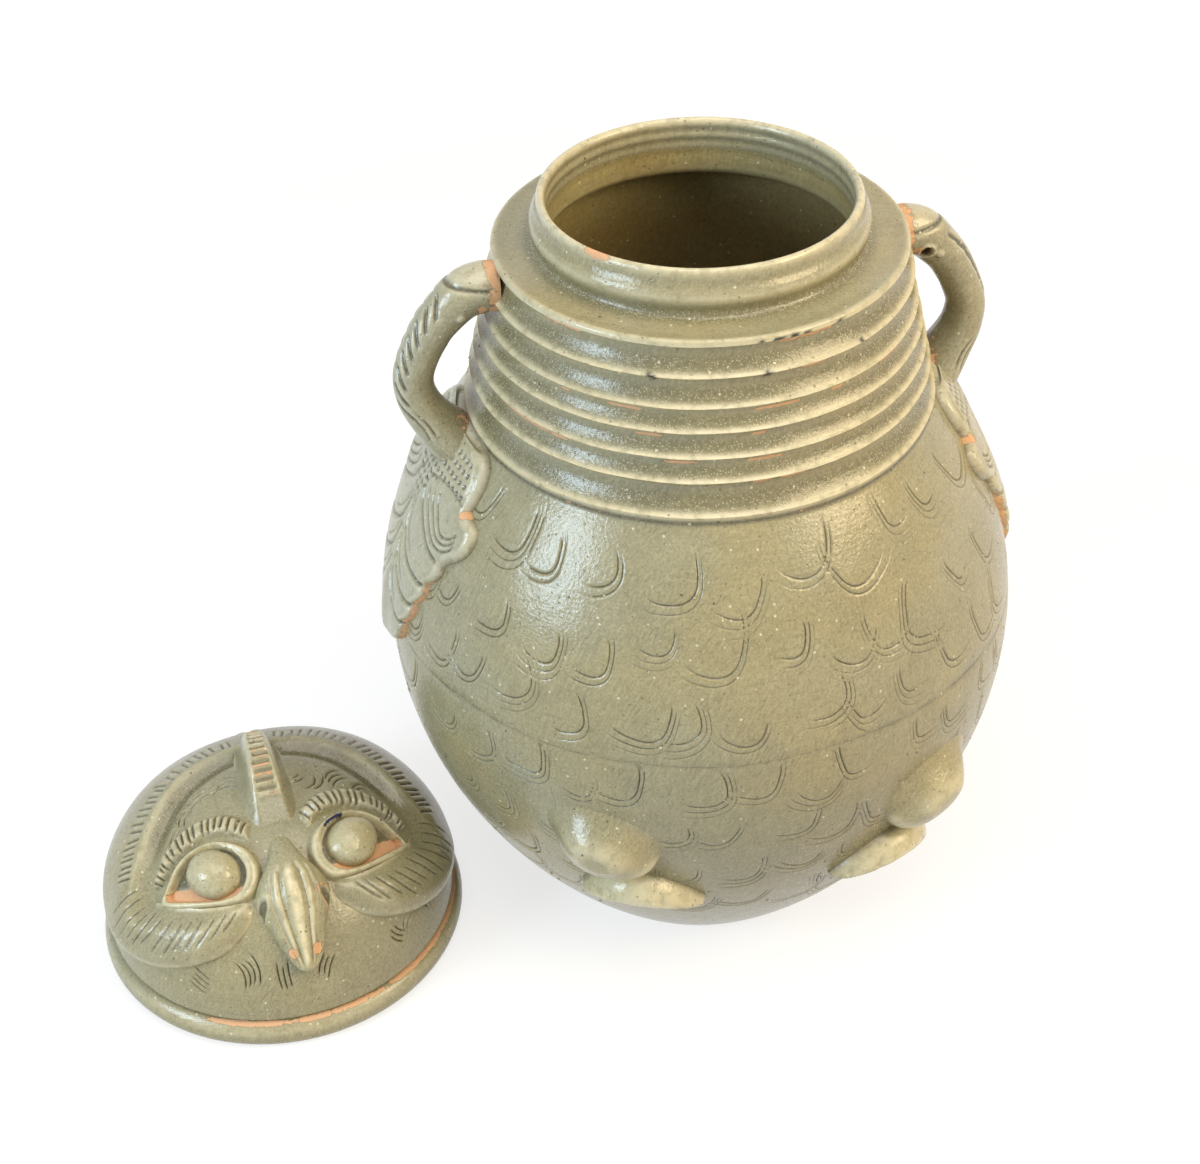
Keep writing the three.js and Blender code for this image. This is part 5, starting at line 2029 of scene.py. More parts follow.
@dataclass
class Crest:
    """Notched crest along the top of the head, with smooth flanks that flare out to the forehead.

    Attributes:
        form: the lid that it is luted on.
        profile: from behind to the front, as front, height, half width of the notched strip on top and
            half width of the foot.
        notches: how many notches are cut across the strip.
        notched: shares of its length between which they lie.
        steps: points along it.
        around: points across it.
    """

    form: LidForm
    profile: tuple[tuple[float, float, float, float], ...] = (
        (-30, 65, 1.6, 5.0), (-27, 73.5, 2.0, 7.0), (-21, 81.5, 2.5, 8.6), (-12, 85.8, 2.9, 9.4),
        (-4, 86.6, 3.2, 9.8), (2.4, 84.6, 3.6, 10.2), (7.2, 80.4, 4.0, 10.4), (11.5, 76.2, 4.4, 10.4),
        (16, 72.6, 4.6, 9.6), (20, 69.4, 4.2, 7.6), (23, 66, 3.0, 4.0),
    )
    notches: int = 10
    notched: tuple[float, float] = (0.26, 0.76)
    steps: int = 220
    around: int = 96

    def surface(self) -> Surface:
        """The crest as one closed surface."""
        form = self.form
        line = spline(list(self.profile), self.steps)
        length = walked(line[:, :2])
        low, high = self.notched
        phase = (length / length[-1] - low) / (high - low) * self.notches
        wave = 0.5 - 0.5 * np.cos(2 * math.pi * phase)
        cut = np.where((phase > 0) & (phase < self.notches), wave, 0) ** 0.8
        turn = np.tile(circle(self.around), self.steps)
        front, top, strip, foot, notch = (np.repeat(row, self.around) for row in (*line.T, cut))
        side = foot * np.sin(turn)
        dome = form.dome_base + form.dome_rise * np.sqrt(1 - (front**2 + side**2) / form.dome_radius**2) - 0.6
        slope = ramp(0.8 * strip, foot, np.abs(side)) ** 1.35
        ragged = np.abs(side) + 0.5 * lattice(np.column_stack([front, side, top]), 3.0, 5)
        across = ramp(strip + 0.5, strip - 0.7, ragged) * (np.cos(turn) > 0)
        above = np.maximum(top - dome, 0)
        height = np.where(np.cos(turn) > 0, dome + above * (1 - slope) - 1.25 * notch * across, dome - 3)
        points = np.column_stack([side, -front, height])
        points[:, :2] += 0.25 * np.column_stack([rough(points, 9.0, 97), rough(points, 9.0, 98)])
        notched = np.repeat((phase > -0.5) & (phase < self.notches + 0.5), self.around)
        rib = (1 - notch) * across * notched
        worn = rib * (0.44 + 0.5 * rough(points, 5.0, 99))
        tones = {Tone.GROOVE: 0.5 * notch * across, Tone.THIN: 0.75 * rib, Tone.BARE: np.clip(worn, 0, 1)}
        return form.luted(points, self.around, tones)

    def build(self, glaze: bpy.types.Material) -> None:
        """Builds the crest in its glaze."""
        Piece("lid_crest", "lid", [glaze]).build(self.surface())


@dataclass
class Beak:
    """Hooked beak with grooves along its ridge and two nostrils.

    Attributes:
        form: the lid that it is luted on.
        profile: from the root to the tip, as front, height of the ridge and half width.
        nostril: side, front and radius of the right nostril.
        grooves: places of the grooves beside the ridge, as shares of the half width.
        steps: points along it.
        across: points across it.
    """

    form: LidForm
    profile: tuple[tuple[float, float, float], ...] = (
        (24, 67.6, 3.4), (28, 68.4, 4.6), (33, 68.9, 6.4), (40, 69.4, 9.6), (46, 67.4, 12.8),
        (52, 63.0, 14.6), (57, 57.6, 13.4), (62, 51.4, 10.4), (66.2, 45.8, 7.8), (69.0, 41.6, 5.6),
        (69.8, 38.8, 4.0), (68.6, 37.0, 2.0),
    )
    nostril: tuple[float, float, float] = (12.2, 50.6, 1.9)
    grooves: tuple[float, float] = (0.3, 0.56)
    steps: int = 190
    across: int = 120

    def surface(self) -> Surface:
        """The beak as one closed surface."""
        line = spline(list(self.profile), self.steps)
        along = direction(line[:, :2])
        turn = np.tile(np.linspace(-math.pi, math.pi, self.across, endpoint=False), self.steps)
        front, top, half, run, fall, share = (
            np.repeat(row, self.across) for row in (*line.T, *along.T, np.linspace(0, 1, self.steps)))
        upper = np.abs(turn) < math.pi / 2
        side = np.sin(turn) * half
        bow = np.abs(np.cos(turn)) ** 0.8
        deep = 0.95 * half * np.where(upper, 1 - bow, 1 + 0.84 * np.abs(np.cos(turn)))
        drawn = ramp(0.26, 0.36, share) * ramp(0.97, 0.86, share) * upper
        groove = sum(bell(np.abs(side), place * half, 0.035 * half + 0.32) for place in self.grooves) * drawn
        ridge = bell(side, 0, 0.1 * half + 0.5) * upper * drawn
        ridge = np.maximum(ridge, 0.8 * bell(np.abs(side), 0.43 * half, 0.07 * half + 0.2) * drawn)
        lift = 0.4 * ridge - deep - 1.0 * groove
        forward, height = front - fall * lift, top + run * lift
        gap = np.hypot(np.abs(side) - self.nostril[0], forward - self.nostril[1])
        hole = ramp(self.nostril[2] + 0.5, self.nostril[2] - 0.6, gap) * upper
        lip = (ramp(self.nostril[2] + 2.2, self.nostril[2] + 0.5, gap) - hole) * upper
        points = np.column_stack([side, -forward, height - 1.8 * hole + 0.5 * lip])
        points += 0.2 * np.column_stack([lattice(points, 8.0, k) for k in (41, 42, 43)])
        nick = bell(share, 0.83, 0.045) * bell(np.abs(side), 0.58 * half, 0.3 * half) * upper
        worn = 0.6 * bell(side, 0.42 * half, 0.6) * upper * bell(share, 0.45, 0.12)
        tones = {
            Tone.GROOVE: np.clip(np.maximum(0.5 * groove, 0.9 * hole), 0, 1),
            Tone.THIN: np.clip(0.9 * ridge + 0.4 * lip, 0, 1),
            Tone.BARE: np.clip(np.maximum.reduce([0.9 * nick, worn, (0.3 + 0.3 * (side > 0)) * lip]), 0, 1),
        }
        return self.form.luted(points, self.across, tones)

    def build(self, pale: bpy.types.Material) -> None:
        """Builds the beak in its glaze."""
        Piece("lid_beak", "lid", [pale]).build(self.surface())


@dataclass
class KilnGrit:
    """Grains that fell on the wet glaze in the kiln and were glazed over.

    Attributes:
        body: the body that the grains ride on.
        carriers: the pieces that they lie on.
        glaze: the glaze of those pieces and of the grains.
        density: how many lie on a square metre.
        grain: radius of a grain of middle size.
        lowest: height under which none lie.
        highest: height over which none lie.
        reach: how far from the jar's axis they lie at most, measured along X and along Y.
        seed: seed of their places and sizes.
        sizes: smallest and largest grain, as shares of the one of middle size.
        flatness: height of a grain as a share of its width.
    """

    body: str
    carriers: tuple[str, ...]
    glaze: bpy.types.Material
    density: float
    grain: float
    lowest: float
    highest: float
    reach: tuple[float, float]
    seed: int
    sizes: tuple[float, float] = (0.45, 1.25)
    flatness: float = 0.5

    def tree(self) -> bpy.types.NodeTree:
        """Builds the tree that scatters the grains.

        Returns:
            The tree, with named inputs for the sizes.
        """
        tree = bpy.data.node_groups.new(f"{self.body}_grit_tree", "GeometryNodeTree")
        sheet = NodeSheet(tree)
        sheet.sockets("INPUT", "NodeSocketGeometry", "Geometry")
        sheet.sockets("INPUT", "NodeSocketFloat", "Density", "Grain", "Lowest", "Highest", "Reach X",
                      "Reach Y")
        sheet.sockets("OUTPUT", "NodeSocketGeometry", "Geometry")
        given = tree.nodes.new("NodeGroupInput").outputs
        place = sheet.add("GeometryNodeInputPosition").outputs[0]
        spot = sheet.add("ShaderNodeSeparateXYZ", Vector=place)
        chosen = sheet.add("GeometryNodeMaterialSelection", Material=self.glaze).outputs[0]
        for test, value, limit in (
            ("LESS_THAN", sheet.math("ABSOLUTE", spot.outputs[0]), "Reach X"),
            ("LESS_THAN", sheet.math("ABSOLUTE", spot.outputs[1]), "Reach Y"),
            ("GREATER_THAN", spot.outputs[2], "Lowest"), ("LESS_THAN", spot.outputs[2], "Highest"),
        ):
            chosen = sheet.times(chosen, sheet.math(test, value, given[limit]))
        scatter = sheet.add("GeometryNodeDistributePointsOnFaces", {"distribute_method": "RANDOM"},
                            Mesh=given["Geometry"], Selection=chosen, Density=given["Density"],
                            Seed=self.seed)
        ball = sheet.add("GeometryNodeMeshUVSphere", Segments=8, Rings=6, Radius=given["Grain"])
        size = sheet.add("FunctionNodeRandomValue", {"data_type": "FLOAT"}, Seed=self.seed)
        sheet.feed(size.inputs[2], self.sizes[0])
        sheet.feed(size.inputs[3], self.sizes[1])
        flat = sheet.add("ShaderNodeCombineXYZ", X=size.outputs[1], Y=size.outputs[1],
                         Z=sheet.times(size.outputs[1], self.flatness))
        placed = sheet.add("GeometryNodeInstanceOnPoints", Points=scatter.outputs["Points"],
                           Instance=ball.outputs["Mesh"], Rotation=scatter.outputs["Rotation"],
                           Scale=flat.outputs[0])
        real = sheet.add("GeometryNodeRealizeInstances", Geometry=placed.outputs["Instances"])
        dressed = sheet.add("GeometryNodeSetMaterial", Geometry=real.outputs["Geometry"],
                            Material=self.glaze)
        out = tree.nodes.new("NodeGroupOutput")
        tree.links.new(dressed.outputs["Geometry"], out.inputs["Geometry"])
        return tree

    def build(self) -> None:
        """Scatters the grains over the carriers and keeps them as one plain mesh."""
        work = bmesh.new()
        for name in self.carriers:
            work.from_mesh(bpy.data.objects[name].data)
        mesh = bpy.data.meshes.new(f"{self.body}_grit")
        work.to_mesh(mesh)
        work.free()
        mesh.materials.append(self.glaze)
        mesh.materials.append(bpy.data.objects[self.carriers[0]].data.materials[1])
        made = bpy.data.objects.new(f"{self.body}_grit", mesh)
        bpy.context.scene.collection.objects.link(made)
        modifier = made.modifiers.new("scatter", "NODES")
        tree = self.tree()
        modifier.node_group = tree
        given = {"Density": self.density, "Grain": self.grain * MM, "Lowest": self.lowest * MM,
                 "Highest": self.highest * MM, "Reach X": self.reach[0] * MM, "Reach Y": self.reach[1] * MM}
        for item in tree.interface.items_tree:
            if item.in_out == "INPUT" and item.name in given:
                modifier[item.identifier] = given[item.name]
        graph = bpy.context.evaluated_depsgraph_get()
        plain = bpy.data.meshes.new_from_object(made.evaluated_get(graph))
        made.modifiers.remove(modifier)
        made.data = plain
        bpy.data.meshes.remove(mesh)
        plain.polygons.foreach_set("use_smooth", [True] * len(plain.polygons))
        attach(made, self.body)
        log.info("%s_grit: %d faces", self.body, len(plain.polygons))


@dataclass(frozen=True)
class GlazeFinish:
    """A celadon glaze over orange-firing clay.

    Attributes:
        name: the material's name.
        body: colour where the glaze lies evenly.
        warm: colour of its browner clouds.
        thin: colour where it runs thin over a crest.
        pool: colour where it lies thick, also used for painted shade.
        clay: colour of the bare clay.
        ink: colour of iron spots or of a slip of pigment.
        roughness: roughness of the glass.
        speckle: how much of it is speckled, from 0 to 1.
    """

    name: str
    body: Colour
    warm: Colour
    thin: Colour
    pool: Colour
    clay: Colour = (0.60, 0.33, 0.17)
    ink: Colour = (0.022, 0.018, 0.014)
    roughness: float = 0.19
    speckle: float = 0.7


class NodeSheet:
    """Short ways to place shader nodes on a tree."""

    def __init__(self, tree: bpy.types.NodeTree) -> None:
        """Keeps the tree that nodes go on."""
        self.tree = tree

    def sockets(self, way: str, kind: str, *names: str) -> None:
        """Gives the tree named inputs or outputs of a kind."""
        for name in names:
            self.tree.interface.new_socket(name, in_out=way, socket_type=kind)

    def add(self, kind: str, settings: dict | None = None, **inputs: object) -> bpy.types.Node:
        """Places a node.

        Args:
            kind: its type.
            settings: its properties.
            inputs: a value or a socket for each input, named as the socket with _ for a space.

        Returns:
            The node.
        """
        node = self.tree.nodes.new(kind)
        for key, value in (settings or {}).items():
            setattr(node, key, value)
        for key, value in inputs.items():
            self.feed(node.inputs[key.replace("_", " ")], value)
        return node

    def feed(self, socket: bpy.types.NodeSocket, value: object) -> None:
        """Links or sets an input.

        Args:
            socket: the input.
            value: a socket to link, or a value.
        """
        if isinstance(value, bpy.types.NodeSocket):
            self.tree.links.new(value, socket)
        elif isinstance(value, tuple) and len(value) == 3 and socket.type == "RGBA":
            socket.default_value = (*value, 1.0)
        else:
            socket.default_value = value

    def math(self, operation: str, first: object, second: object = 0.0) -> Socket:
        """Works out a value from two.

        Args:
            operation: the sum to do.
            first: value or socket.
            second: value or socket.

        Returns:
            The result's socket.
        """
        node = self.tree.nodes.new("ShaderNodeMath")
        node.operation = operation
        self.feed(node.inputs[0], first)
        self.feed(node.inputs[1], second)
        return node.outputs[0]

    def times(self, first: object, second: object) -> Socket:
        """Multiplies two values or sockets."""
        return self.math("MULTIPLY", first, second)

    def mix(self, share: object, first: object, second: object) -> Socket:
        """Mixes two colours.

        Args:
            share: how much of the second, from 0 to 1.
            first: colour or socket.
            second: colour or socket.

        Returns:
            The result's socket.
        """
        node = self.tree.nodes.new("ShaderNodeMix")
        node.data_type = "RGBA"
        self.feed(node.inputs[0], share)
        self.feed(node.inputs[6], first)
        self.feed(node.inputs[7], second)
        return node.outputs[2]

    def step(self, value: object, low: float, high: float, start: float = 0.0, end: float = 1.0) -> Socket:
        """Smooth step of a value.

        Args:
            value: the value's socket.
            low: where the step starts.
            high: where it ends.
            start: result below it.
            end: result above it.

        Returns:
            The result's socket.
        """
        node = self.add("ShaderNodeMapRange", {"interpolation_type": "SMOOTHSTEP"}, Value=value)
        for key, number in (("From Min", low), ("From Max", high), ("To Min", start), ("To Max", end)):
            node.inputs[key].default_value = number
        return node.outputs[0]

    def noise(self, place: object, size: float, detail: float = 3.0) -> Socket:
        """Noise at a place, with features of a size in millimetres and finer layers on them."""
        node = self.add("ShaderNodeTexNoise", Vector=place, Scale=1 / (size * MM), Detail=detail)
        return node.outputs[0]

    def cells(self, place: object, size: float, feature: str, output: str) -> Socket:
        """One output of a feature of cells at a place, of a size in millimetres."""
        node = self.add("ShaderNodeTexVoronoi", {"feature": feature}, Vector=place, Scale=1 / (size * MM))
        return node.outputs[output]

    def specks(self, place: object, size: float, rare: float, core: float, rim: float) -> Socket:
        """Round specks in some cells.

        Args:
            place: where to read them.
            size: size of a cell in millimetres.
            rare: share of the cells that have none.
            core: radius of a speck's full middle, as a share of the cell.
            rim: radius at which it has run out.

        Returns:
            A socket that is 1 in a speck and 0 away from it.
        """
        node = self.add("ShaderNodeTexVoronoi", {"feature": "F1"}, Vector=place, Scale=1 / (size * MM))
        pick = self.add("ShaderNodeSeparateColor", Color=node.outputs["Color"]).outputs[0]
        spread = self.step(node.outputs["Distance"], core, rim, 1.0, 0.0)
        return self.times(spread, self.step(pick, rare, rare + 0.03))


GLASS_IOR = 1.52
BARE_ROUGHNESS = 0.85
SANDY_CLAY = (0.68, 0.42, 0.24)
# Dark brown of glaze in cuts, also used for painted shade.
GROOVE_AND_SHADE_BROWN = (0.062, 0.055, 0.03)
PALE_GRAIN = (0.6, 0.56, 0.37)
PALE_SPECK = (0.7, 0.66, 0.48)
IRON_SPECK = (0.035, 0.028, 0.018)
RUSTY_EDGE = (0.22, 0.12, 0.05)


def glaze_group() -> bpy.types.NodeTree:
    """Builds the node group that colours, dulls and roughens a glaze.

    Returns:
        The group.
    """
    group = bpy.data.node_groups.new("celadon_surface", "ShaderNodeTree")
    sheet = NodeSheet(group)
    sheet.sockets("INPUT", "NodeSocketColor", "Body", "Warm", "Thin", "Pool", "Clay", "Ink")
    sheet.sockets("INPUT", "NodeSocketFloat", "Speckle", "Roughness")
    sheet.sockets("OUTPUT", "NodeSocketColor", "Color")
    sheet.sockets("OUTPUT", "NodeSocketFloat", "Roughness", "Height")
    given = group.nodes.new("NodeGroupInput").outputs
    place = sheet.add("ShaderNodeTexCoord").outputs["Object"]
    tone = {kind: sheet.add("ShaderNodeAttribute", {"attribute_name": kind.value}).outputs[2]
            for kind in Tone}
    upright = sheet.add("ShaderNodeMapping", Vector=place, Scale=(1.0, 1.0, 0.09)).outputs[0]
    slant = sheet.add("ShaderNodeMapping", {"vector_type": "TEXTURE"}, Vector=place, Rotation=(0.0, 0.5, 0.0),
                      Scale=(1.0, 1.0, 6.0)).outputs[0]
    bands = sheet.add("ShaderNodeMapping", Vector=place, Scale=(0.05, 0.05, 1.0)).outputs[0]
    clouds = sheet.step(sheet.noise(place, 46, 3), 0.4, 0.62)
    mottle = sheet.noise(place, 0.95, 3)
    patches = sheet.step(sheet.noise(place, 17, 3), 0.4, 0.62)
    brushed = sheet.times(sheet.step(sheet.noise(slant, 0.7, 3), 0.46, 0.66, 0.1, 0.5), patches)
    runs = sheet.step(sheet.noise(upright, 1.0, 3), 0.48, 0.68, 0.0, 0.3)
    wheel = sheet.step(sheet.noise(bands, 0.8, 2), 0.5, 0.7, 0.0, 0.26)
    lines = sheet.math("MAXIMUM", sheet.math("MAXIMUM", runs, wheel), brushed)
    pale = sheet.step(sheet.noise(slant, 0.9, 3), 0.5, 0.7, 0.0, 0.16)
    cracks = sheet.cells(place, 6.0, "DISTANCE_TO_EDGE", "Distance")
    # Thick glaze in hollows, and painted shade where that tone is set for it.
    pool_and_shade_share = sheet.times(tone[Tone.POOL], sheet.step(sheet.noise(place, 1.6, 4), 0.3, 0.6, 0.45, 1.0))
    ridge = sheet.times(tone[Tone.THIN], sheet.step(sheet.noise(place, 4, 4), 0.32, 0.56, 0.5, 1.0))
    # Dark glaze in cuts and joints, and painted shade in the eye sockets and the valley round the face.
    groove = sheet.step(tone[Tone.GROOVE], 0.12, 0.75, 0.0, 0.8)
    groove = sheet.times(groove, sheet.step(sheet.noise(place, 1.8, 3), 0.3, 0.55, 0.65, 1.0))
    grains = sheet.cells(place, 0.85, "F1", "Distance")
    crowd = sheet.step(sheet.noise(place, 9, 4), 0.42, 0.66)
    crowd = sheet.math("MAXIMUM", sheet.times(crowd, 0.45), tone[Tone.POOL])
    crowd = sheet.times(crowd, given["Speckle"])
    grain = sheet.times(sheet.step(grains, 0.16, 0.34, 1.0, 0.0), crowd)
    speck = sheet.specks(place, 3.0, 0.82, 0.08, 0.22)
    iron = sheet.specks(place, 5.0, 0.88, 0.05, 0.13)
    pits = sheet.specks(place, 2.2, 0.78, 0.1, 0.26)
    edge = sheet.times(sheet.math("SUBTRACT", sheet.noise(place, 2.2, 4), 0.5), 0.75)
    edge = sheet.math("ADD", tone[Tone.BARE], edge)
    halo = sheet.step(edge, 0.36, 0.52)
    bare = sheet.step(edge, 0.5, 0.58)
    clay = sheet.mix(sheet.noise(place, 1.1, 3), given["Clay"], SANDY_CLAY)
    colour = sheet.mix(clouds, given["Body"], given["Warm"])
    for share, over in (
        (sheet.step(mottle, 0.42, 0.62, 0.05, 0.3), given["Pool"]), (lines, given["Pool"]),
        (pale, given["Thin"]), (sheet.step(cracks, 0.0, 0.022, 0.2, 0.0), given["Pool"]),
        (sheet.times(pool_and_shade_share, 0.8), given["Pool"]), (ridge, given["Thin"]), (groove, GROOVE_AND_SHADE_BROWN),
        (sheet.times(grain, 0.8), PALE_GRAIN), (sheet.times(speck, 0.7), PALE_SPECK),
        (sheet.times(pits, 0.7), given["Pool"]), (sheet.times(iron, 0.85), IRON_SPECK),
        (sheet.times(halo, 0.5), RUSTY_EDGE), (bare, clay), (tone[Tone.INK], given["Ink"]),
    ):
        colour = sheet.mix(share, colour, over)
    rough_glass = sheet.math("ADD", given["Roughness"], sheet.step(mottle, 0.4, 0.75, 0.0, 0.06))
    rough_glass = sheet.math("ADD", rough_glass, sheet.times(grain, 0.2))
    rough_all = sheet.add("ShaderNodeMix", {"data_type": "FLOAT"})
    sheet.feed(rough_all.inputs[0], bare)
    sheet.feed(rough_all.inputs[2], rough_glass)
    sheet.feed(rough_all.inputs[3], BARE_ROUGHNESS)
    height = sheet.times(sheet.noise(place, 1.2, 3), 0.15)
    sand = sheet.times(sheet.noise(place, 0.7, 3), bare)
    for relief, lift in (
        (sheet.noise(place, 6.0, 2), 0.16), (sheet.noise(bands, 1.3, 2), 0.06),
        (sheet.math("MAXIMUM", grain, speck), 0.06), (sheet.math("MAXIMUM", iron, pits), -0.1),
        (sand, 0.12), (bare, -0.1),
    ):
        height = sheet.math("ADD", height, sheet.times(relief, lift))
    out = group.nodes.new("NodeGroupOutput")
    for name, socket in (("Color", colour), ("Roughness", rough_all.outputs[0]), ("Height", height)):
        group.links.new(socket, out.inputs[name])
    return group


def glaze_material(finish: GlazeFinish, group: bpy.types.NodeTree) -> bpy.types.Material:
    """Makes the material of a glaze.

    Args:
        finish: its colours and gloss.
        group: the shared surface group.

    Returns:
        The material.
    """
    material = bpy.data.materials.new(finish.name)
    material.use_nodes = True
    material.diffuse_color = (*finish.body, 1)
    tree = material.node_tree
    shader = tree.nodes["Principled BSDF"]
    sheet = NodeSheet(tree)
    surface = sheet.add("ShaderNodeGroup", {"node_tree": group}, Body=finish.body, Warm=finish.warm,
                        Thin=finish.thin, Pool=finish.pool, Clay=finish.clay, Ink=finish.ink,
                        Speckle=finish.speckle, Roughness=finish.roughness)
    bump = sheet.add("ShaderNodeBump", Height=surface.outputs["Height"], Strength=1.0, Distance=MM)
    sheet.feed(shader.inputs["Base Color"], surface.outputs["Color"])
    sheet.feed(shader.inputs["Roughness"], surface.outputs["Roughness"])
    sheet.feed(shader.inputs["Normal"], bump.outputs["Normal"])
    shader.inputs["IOR"].default_value = GLASS_IOR
    return material


@dataclass(frozen=True)
class PhotoCamera:
    """The photograph's camera, solved from the jar's circles.

    Attributes:
        place: where it is, in millimetres.
        heading: degrees that it looks to the right of straight ahead.
        dip: degrees that it looks down.
        lean: degrees that it leans.
        focal_pixels: focal length in pixels of the photograph.
        photo_width: width of the photograph in pixels.
        sensor: width of the sensor, in millimetres.
    """

    place: tuple[float, float, float] = (-164.35, -613.37, 631.95)
    heading: float = 11.563
    dip: float = 38.322
    lean: float = -1.889
    focal_pixels: float = 2073.18
    photo_width: int = 1200
    sensor: float = 36.0

    def build(self) -> None:
        """Puts the camera in the scene."""
        heading, dip, lean = (math.radians(angle) for angle in (self.heading, self.dip, self.lean))
        flat, down = math.cos(dip), math.sin(dip)
        forward = Vector((math.sin(heading) * flat, math.cos(heading) * flat, -down))
        aside = Vector((math.cos(heading), -math.sin(heading), 0))
        above = aside.cross(forward)
        right = math.cos(lean) * aside + math.sin(lean) * above
        up = -math.sin(lean) * aside + math.cos(lean) * above
        data = bpy.data.cameras.new("photo_camera")
        data.sensor_fit = "HORIZONTAL"
        data.sensor_width = self.sensor
        data.lens = self.focal_pixels / self.photo_width * self.sensor
        camera = bpy.data.objects.new("photo_camera", data)
        turn = Matrix((right, up, -forward)).transposed().to_4x4()
        camera.matrix_world = Matrix.Translation(Vector(self.place) * MM) @ turn
        bpy.context.scene.collection.objects.link(camera)
        bpy.context.scene.camera = camera


@dataclass(frozen=True)
class SoftLamp:
    """A soft lamp that faces the object.

    Attributes:
        name: its name.
        azimuth: degrees round from the owl's front.
        rise: degrees up.
        distance: how far away it is, in metres.
        size: its width and height in metres.
        power: its power in watts.
        colour: its colour.
    """

    name: str
    azimuth: float
    rise: float
    distance: float
    size: tuple[float, float]
    power: float
    colour: Colour

    def build(self, aim: Vector) -> None:
        """Puts the lamp in the scene.

        Args:
            aim: the point that it faces.
        """
        turn, rise = math.radians(self.azimuth), math.radians(self.rise)
        away = Vector((math.sin(turn) * math.cos(rise), -math.cos(turn) * math.cos(rise), math.sin(rise)))
        data = bpy.data.lights.new(self.name, "AREA")
        data.shape = "RECTANGLE"
        data.size, data.size_y = self.size
        data.energy = self.power
        data.color = self.colour
        lamp = bpy.data.objects.new(self.name, data)
        lamp.location = aim + away * self.distance
        lamp.rotation_euler = away.to_track_quat("Z", "Y").to_euler()
        bpy.context.scene.collection.objects.link(lamp)


@dataclass
class Studio:
    """Pale floor, plain surroundings and soft lamps.

    Attributes:
        lamps: the lamps.
        aim: the point in metres that they face.
        ambient: strength of the surroundings' light.
        floor_colour: the floor's colour.
        floor_reach: half the floor's side in metres.
        floor_shade: how much of the floor's shading the camera sees near the object.
        floor_fade: distances from the origin in metres between which that runs out.
        floor_glow: strength of the white that the camera sees there instead.
    """

    lamps: tuple[SoftLamp, ...] = (
        SoftLamp("window", -70, 22, 1.5, (0.5, 0.7), 15, (0.68, 0.85, 1.0)),
        SoftLamp("room_lamp", 54, 35, 1.6, (0.9, 0.7), 19, (1.0, 0.8, 0.5)),
        SoftLamp("ceiling", 10, 76, 2.0, (1.5, 1.5), 24, (1.0, 0.95, 0.86)),
    )
    aim: tuple[float, float, float] = (-0.05, 0.0, 0.14)
    ambient: float = 0.3
    floor_colour: Colour = (0.6, 0.6, 0.59)
    floor_reach: float = 6.0
    floor_shade: float = 0.5
    floor_fade: tuple[float, float] = (0.6, 1.3)
    floor_glow: float = 1.46

    def white_rays(self, sheet: NodeSheet) -> Socket:
        """Share of rays that see plain white: those of the camera, of gloss and of glass.

        Args:
            sheet: the tree's sheet.

        Returns:
            The share's socket.
        """
        path = sheet.add("ShaderNodeLightPath")
        seen = sheet.math("MAXIMUM", path.outputs["Is Camera Ray"], path.outputs["Is Glossy Ray"])
        return sheet.math("MAXIMUM", seen, path.outputs["Is Transmission Ray"])

    def surroundings(self) -> None:
        """Makes the world."""
        world = bpy.data.worlds.new("studio")
        world.use_nodes = True
        bpy.context.scene.world = world
        sheet = NodeSheet(world.node_tree)
        background = world.node_tree.nodes["Background"]
        light = sheet.add("ShaderNodeBackground", Color=(1.0, 1.0, 1.0), Strength=self.ambient)
        background.inputs["Color"].default_value = (1, 1, 1, 1)
        background.inputs["Strength"].default_value = 1.0
        mix = sheet.add("ShaderNodeMixShader")
        sheet.feed(mix.inputs[0], self.white_rays(sheet))
        sheet.feed(mix.inputs[1], light.outputs[0])
        sheet.feed(mix.inputs[2], background.outputs[0])
        sheet.feed(world.node_tree.nodes["World Output"].inputs["Surface"], mix.outputs[0])

    def floor(self) -> None:
        """Makes the floor, which stays white in the picture but keeps the object's shadow."""
        mesh = bpy.data.meshes.new("studio_floor")
        square = ((-1, -1), (1, -1), (1, 1), (-1, 1))
        corners = [(self.floor_reach * x, self.floor_reach * y, 0) for x, y in square]
        mesh.from_pydata(corners, [], [(0, 1, 2, 3)])
        material = bpy.data.materials.new("pale_floor")
        material.use_nodes = True
        sheet = NodeSheet(material.node_tree)
        shader = material.node_tree.nodes["Principled BSDF"]
        sheet.feed(shader.inputs["Base Color"], self.floor_colour)
        shader.inputs["Roughness"].default_value = 0.9
        glow = sheet.add("ShaderNodeEmission", Color=(1.0, 1.0, 1.0), Strength=self.floor_glow)
        place = sheet.add("ShaderNodeTexCoord").outputs["Object"]
        away = sheet.add("ShaderNodeVectorMath", {"operation": "LENGTH"})
        sheet.feed(away.inputs[0], place)
        lit = sheet.step(away.outputs["Value"], *self.floor_fade, 1 - self.floor_shade, 1.0)
        share = sheet.times(self.white_rays(sheet), lit)
        mix = sheet.add("ShaderNodeMixShader")
        sheet.feed(mix.inputs[0], share)
        sheet.feed(mix.inputs[1], shader.outputs[0])
        sheet.feed(mix.inputs[2], glow.outputs[0])
        sheet.feed(material.node_tree.nodes["Material Output"].inputs["Surface"], mix.outputs[0])
        mesh.materials.append(material)
        floor = bpy.data.objects.new("studio_floor", mesh)
        bpy.context.scene.collection.objects.link(floor)

    def build(self) -> None:
        """Builds floor, surroundings and lamps."""
        bpy.context.scene.view_settings.view_transform = "Standard"
        self.surroundings()
        self.floor()
        for lamp in self.lamps:
            lamp.build(Vector(self.aim))


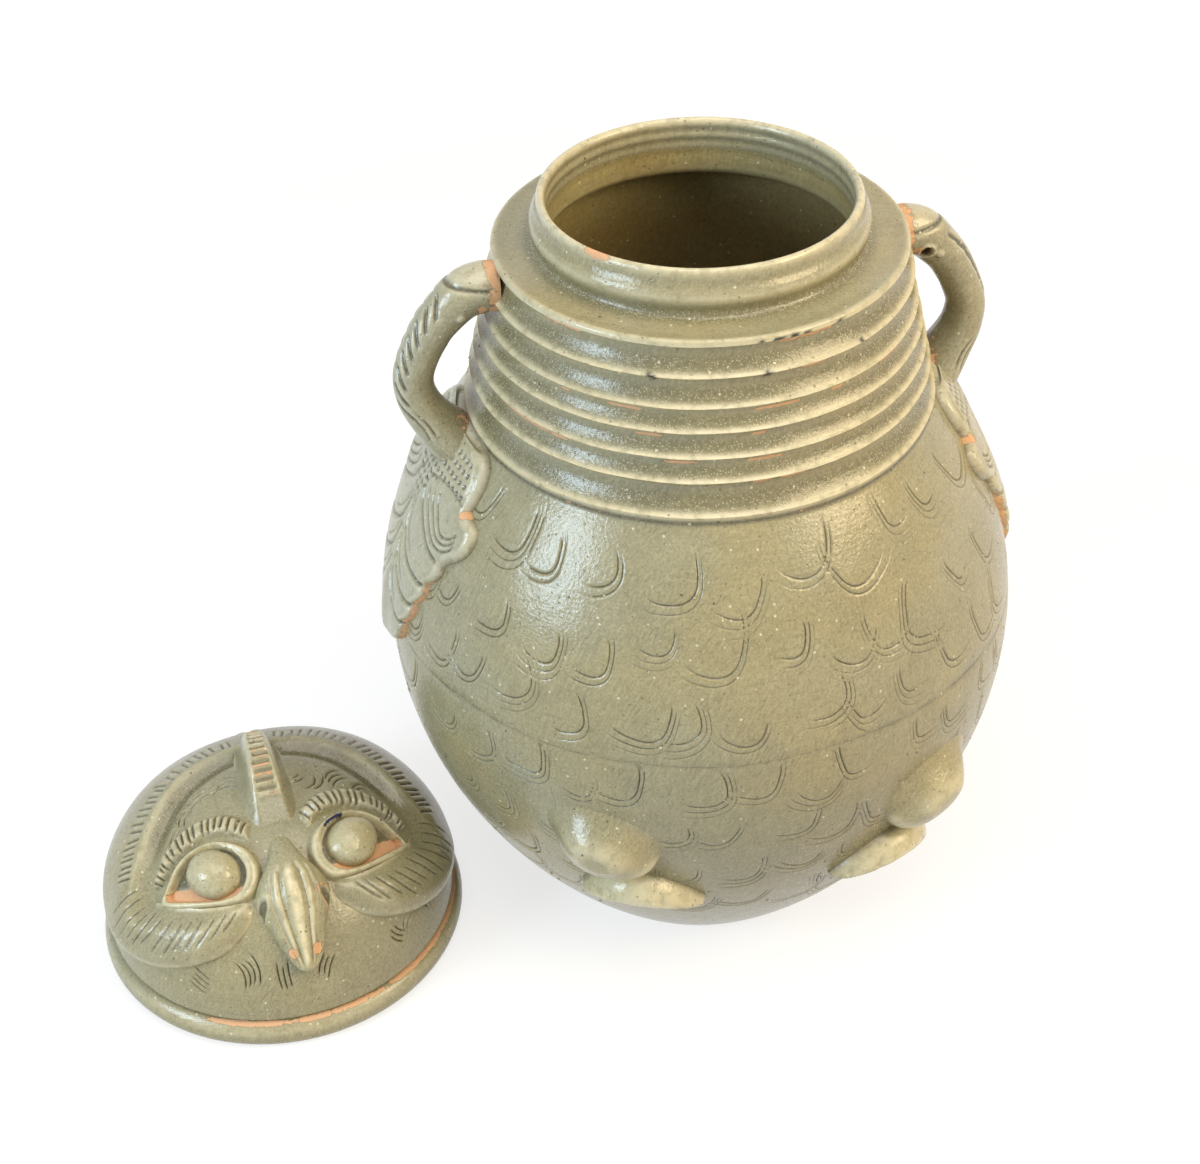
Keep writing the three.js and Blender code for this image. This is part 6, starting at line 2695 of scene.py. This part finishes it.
CELADON = GlazeFinish("celadon_body", body=(0.325, 0.3, 0.185), warm=(0.35, 0.305, 0.165),
                      thin=(0.6, 0.54, 0.36), pool=(0.15, 0.134, 0.068))
# Glaze of the hollows, browner and rougher than the outside; its colour partly paints the shade inside them.
CELADON_INSIDE = GlazeFinish("celadon_inside", body=(0.42, 0.36, 0.17), warm=(0.42, 0.31, 0.12),
                             thin=(0.56, 0.5, 0.28), pool=(0.16, 0.12, 0.05), roughness=0.35, speckle=0.5)
CELADON_PALE = GlazeFinish("celadon_pale", body=(0.38, 0.35, 0.21), warm=(0.42, 0.37, 0.2),
                           thin=(0.7, 0.63, 0.42), pool=(0.16, 0.142, 0.072), ink=(0.014, 0.022, 0.07),
                           speckle=0.4)
CELADON_RELIEF = GlazeFinish("celadon_relief", body=(0.335, 0.32, 0.215), warm=(0.37, 0.33, 0.2),
                             thin=(0.6, 0.56, 0.41), pool=(0.15, 0.138, 0.08), speckle=0.4)


def main() -> None:
    """Builds the scene in order."""
    logging.basicConfig(level=logging.INFO, format="%(message)s")
    PhotoCamera().build()
    Studio().build()
    group = glaze_group()
    glaze, inside, pale, relief = (
        glaze_material(finish, group) for finish in (CELADON, CELADON_INSIDE, CELADON_PALE, CELADON_RELIEF))
    jar = JarForm()
    JarBody(jar).build(glaze, inside)
    for side in Side:
        BirdHandle(jar, side).build(relief)
        BirdPlaque(jar, side).build(relief)
        OwlLeg(jar, side).build(glaze, pale)
    lid = LidForm()
    LidShell(lid).build(glaze, inside)
    Crest(lid).build(glaze)
    Beak(lid).build(pale)
    for side in Side:
        Brow(lid, side).build(glaze)
        Eye(lid, side).build(pale)
        FaceFeathers(lid, side).build(glaze)
    KilnGrit("jar", ("jar_lower_body_clay", "jar_upper_body_clay"), glaze, density=1900.0, grain=0.62,
             lowest=12.0, highest=276.0, reach=(118.6, 118.6), seed=3).build()
    KilnGrit("lid", ("lid_shell_clay",), glaze, density=2300.0, grain=0.5, lowest=20.0, highest=80.0,
             reach=(249.0, 118.6), seed=4).build()


if __name__ == "__main__":
    main()
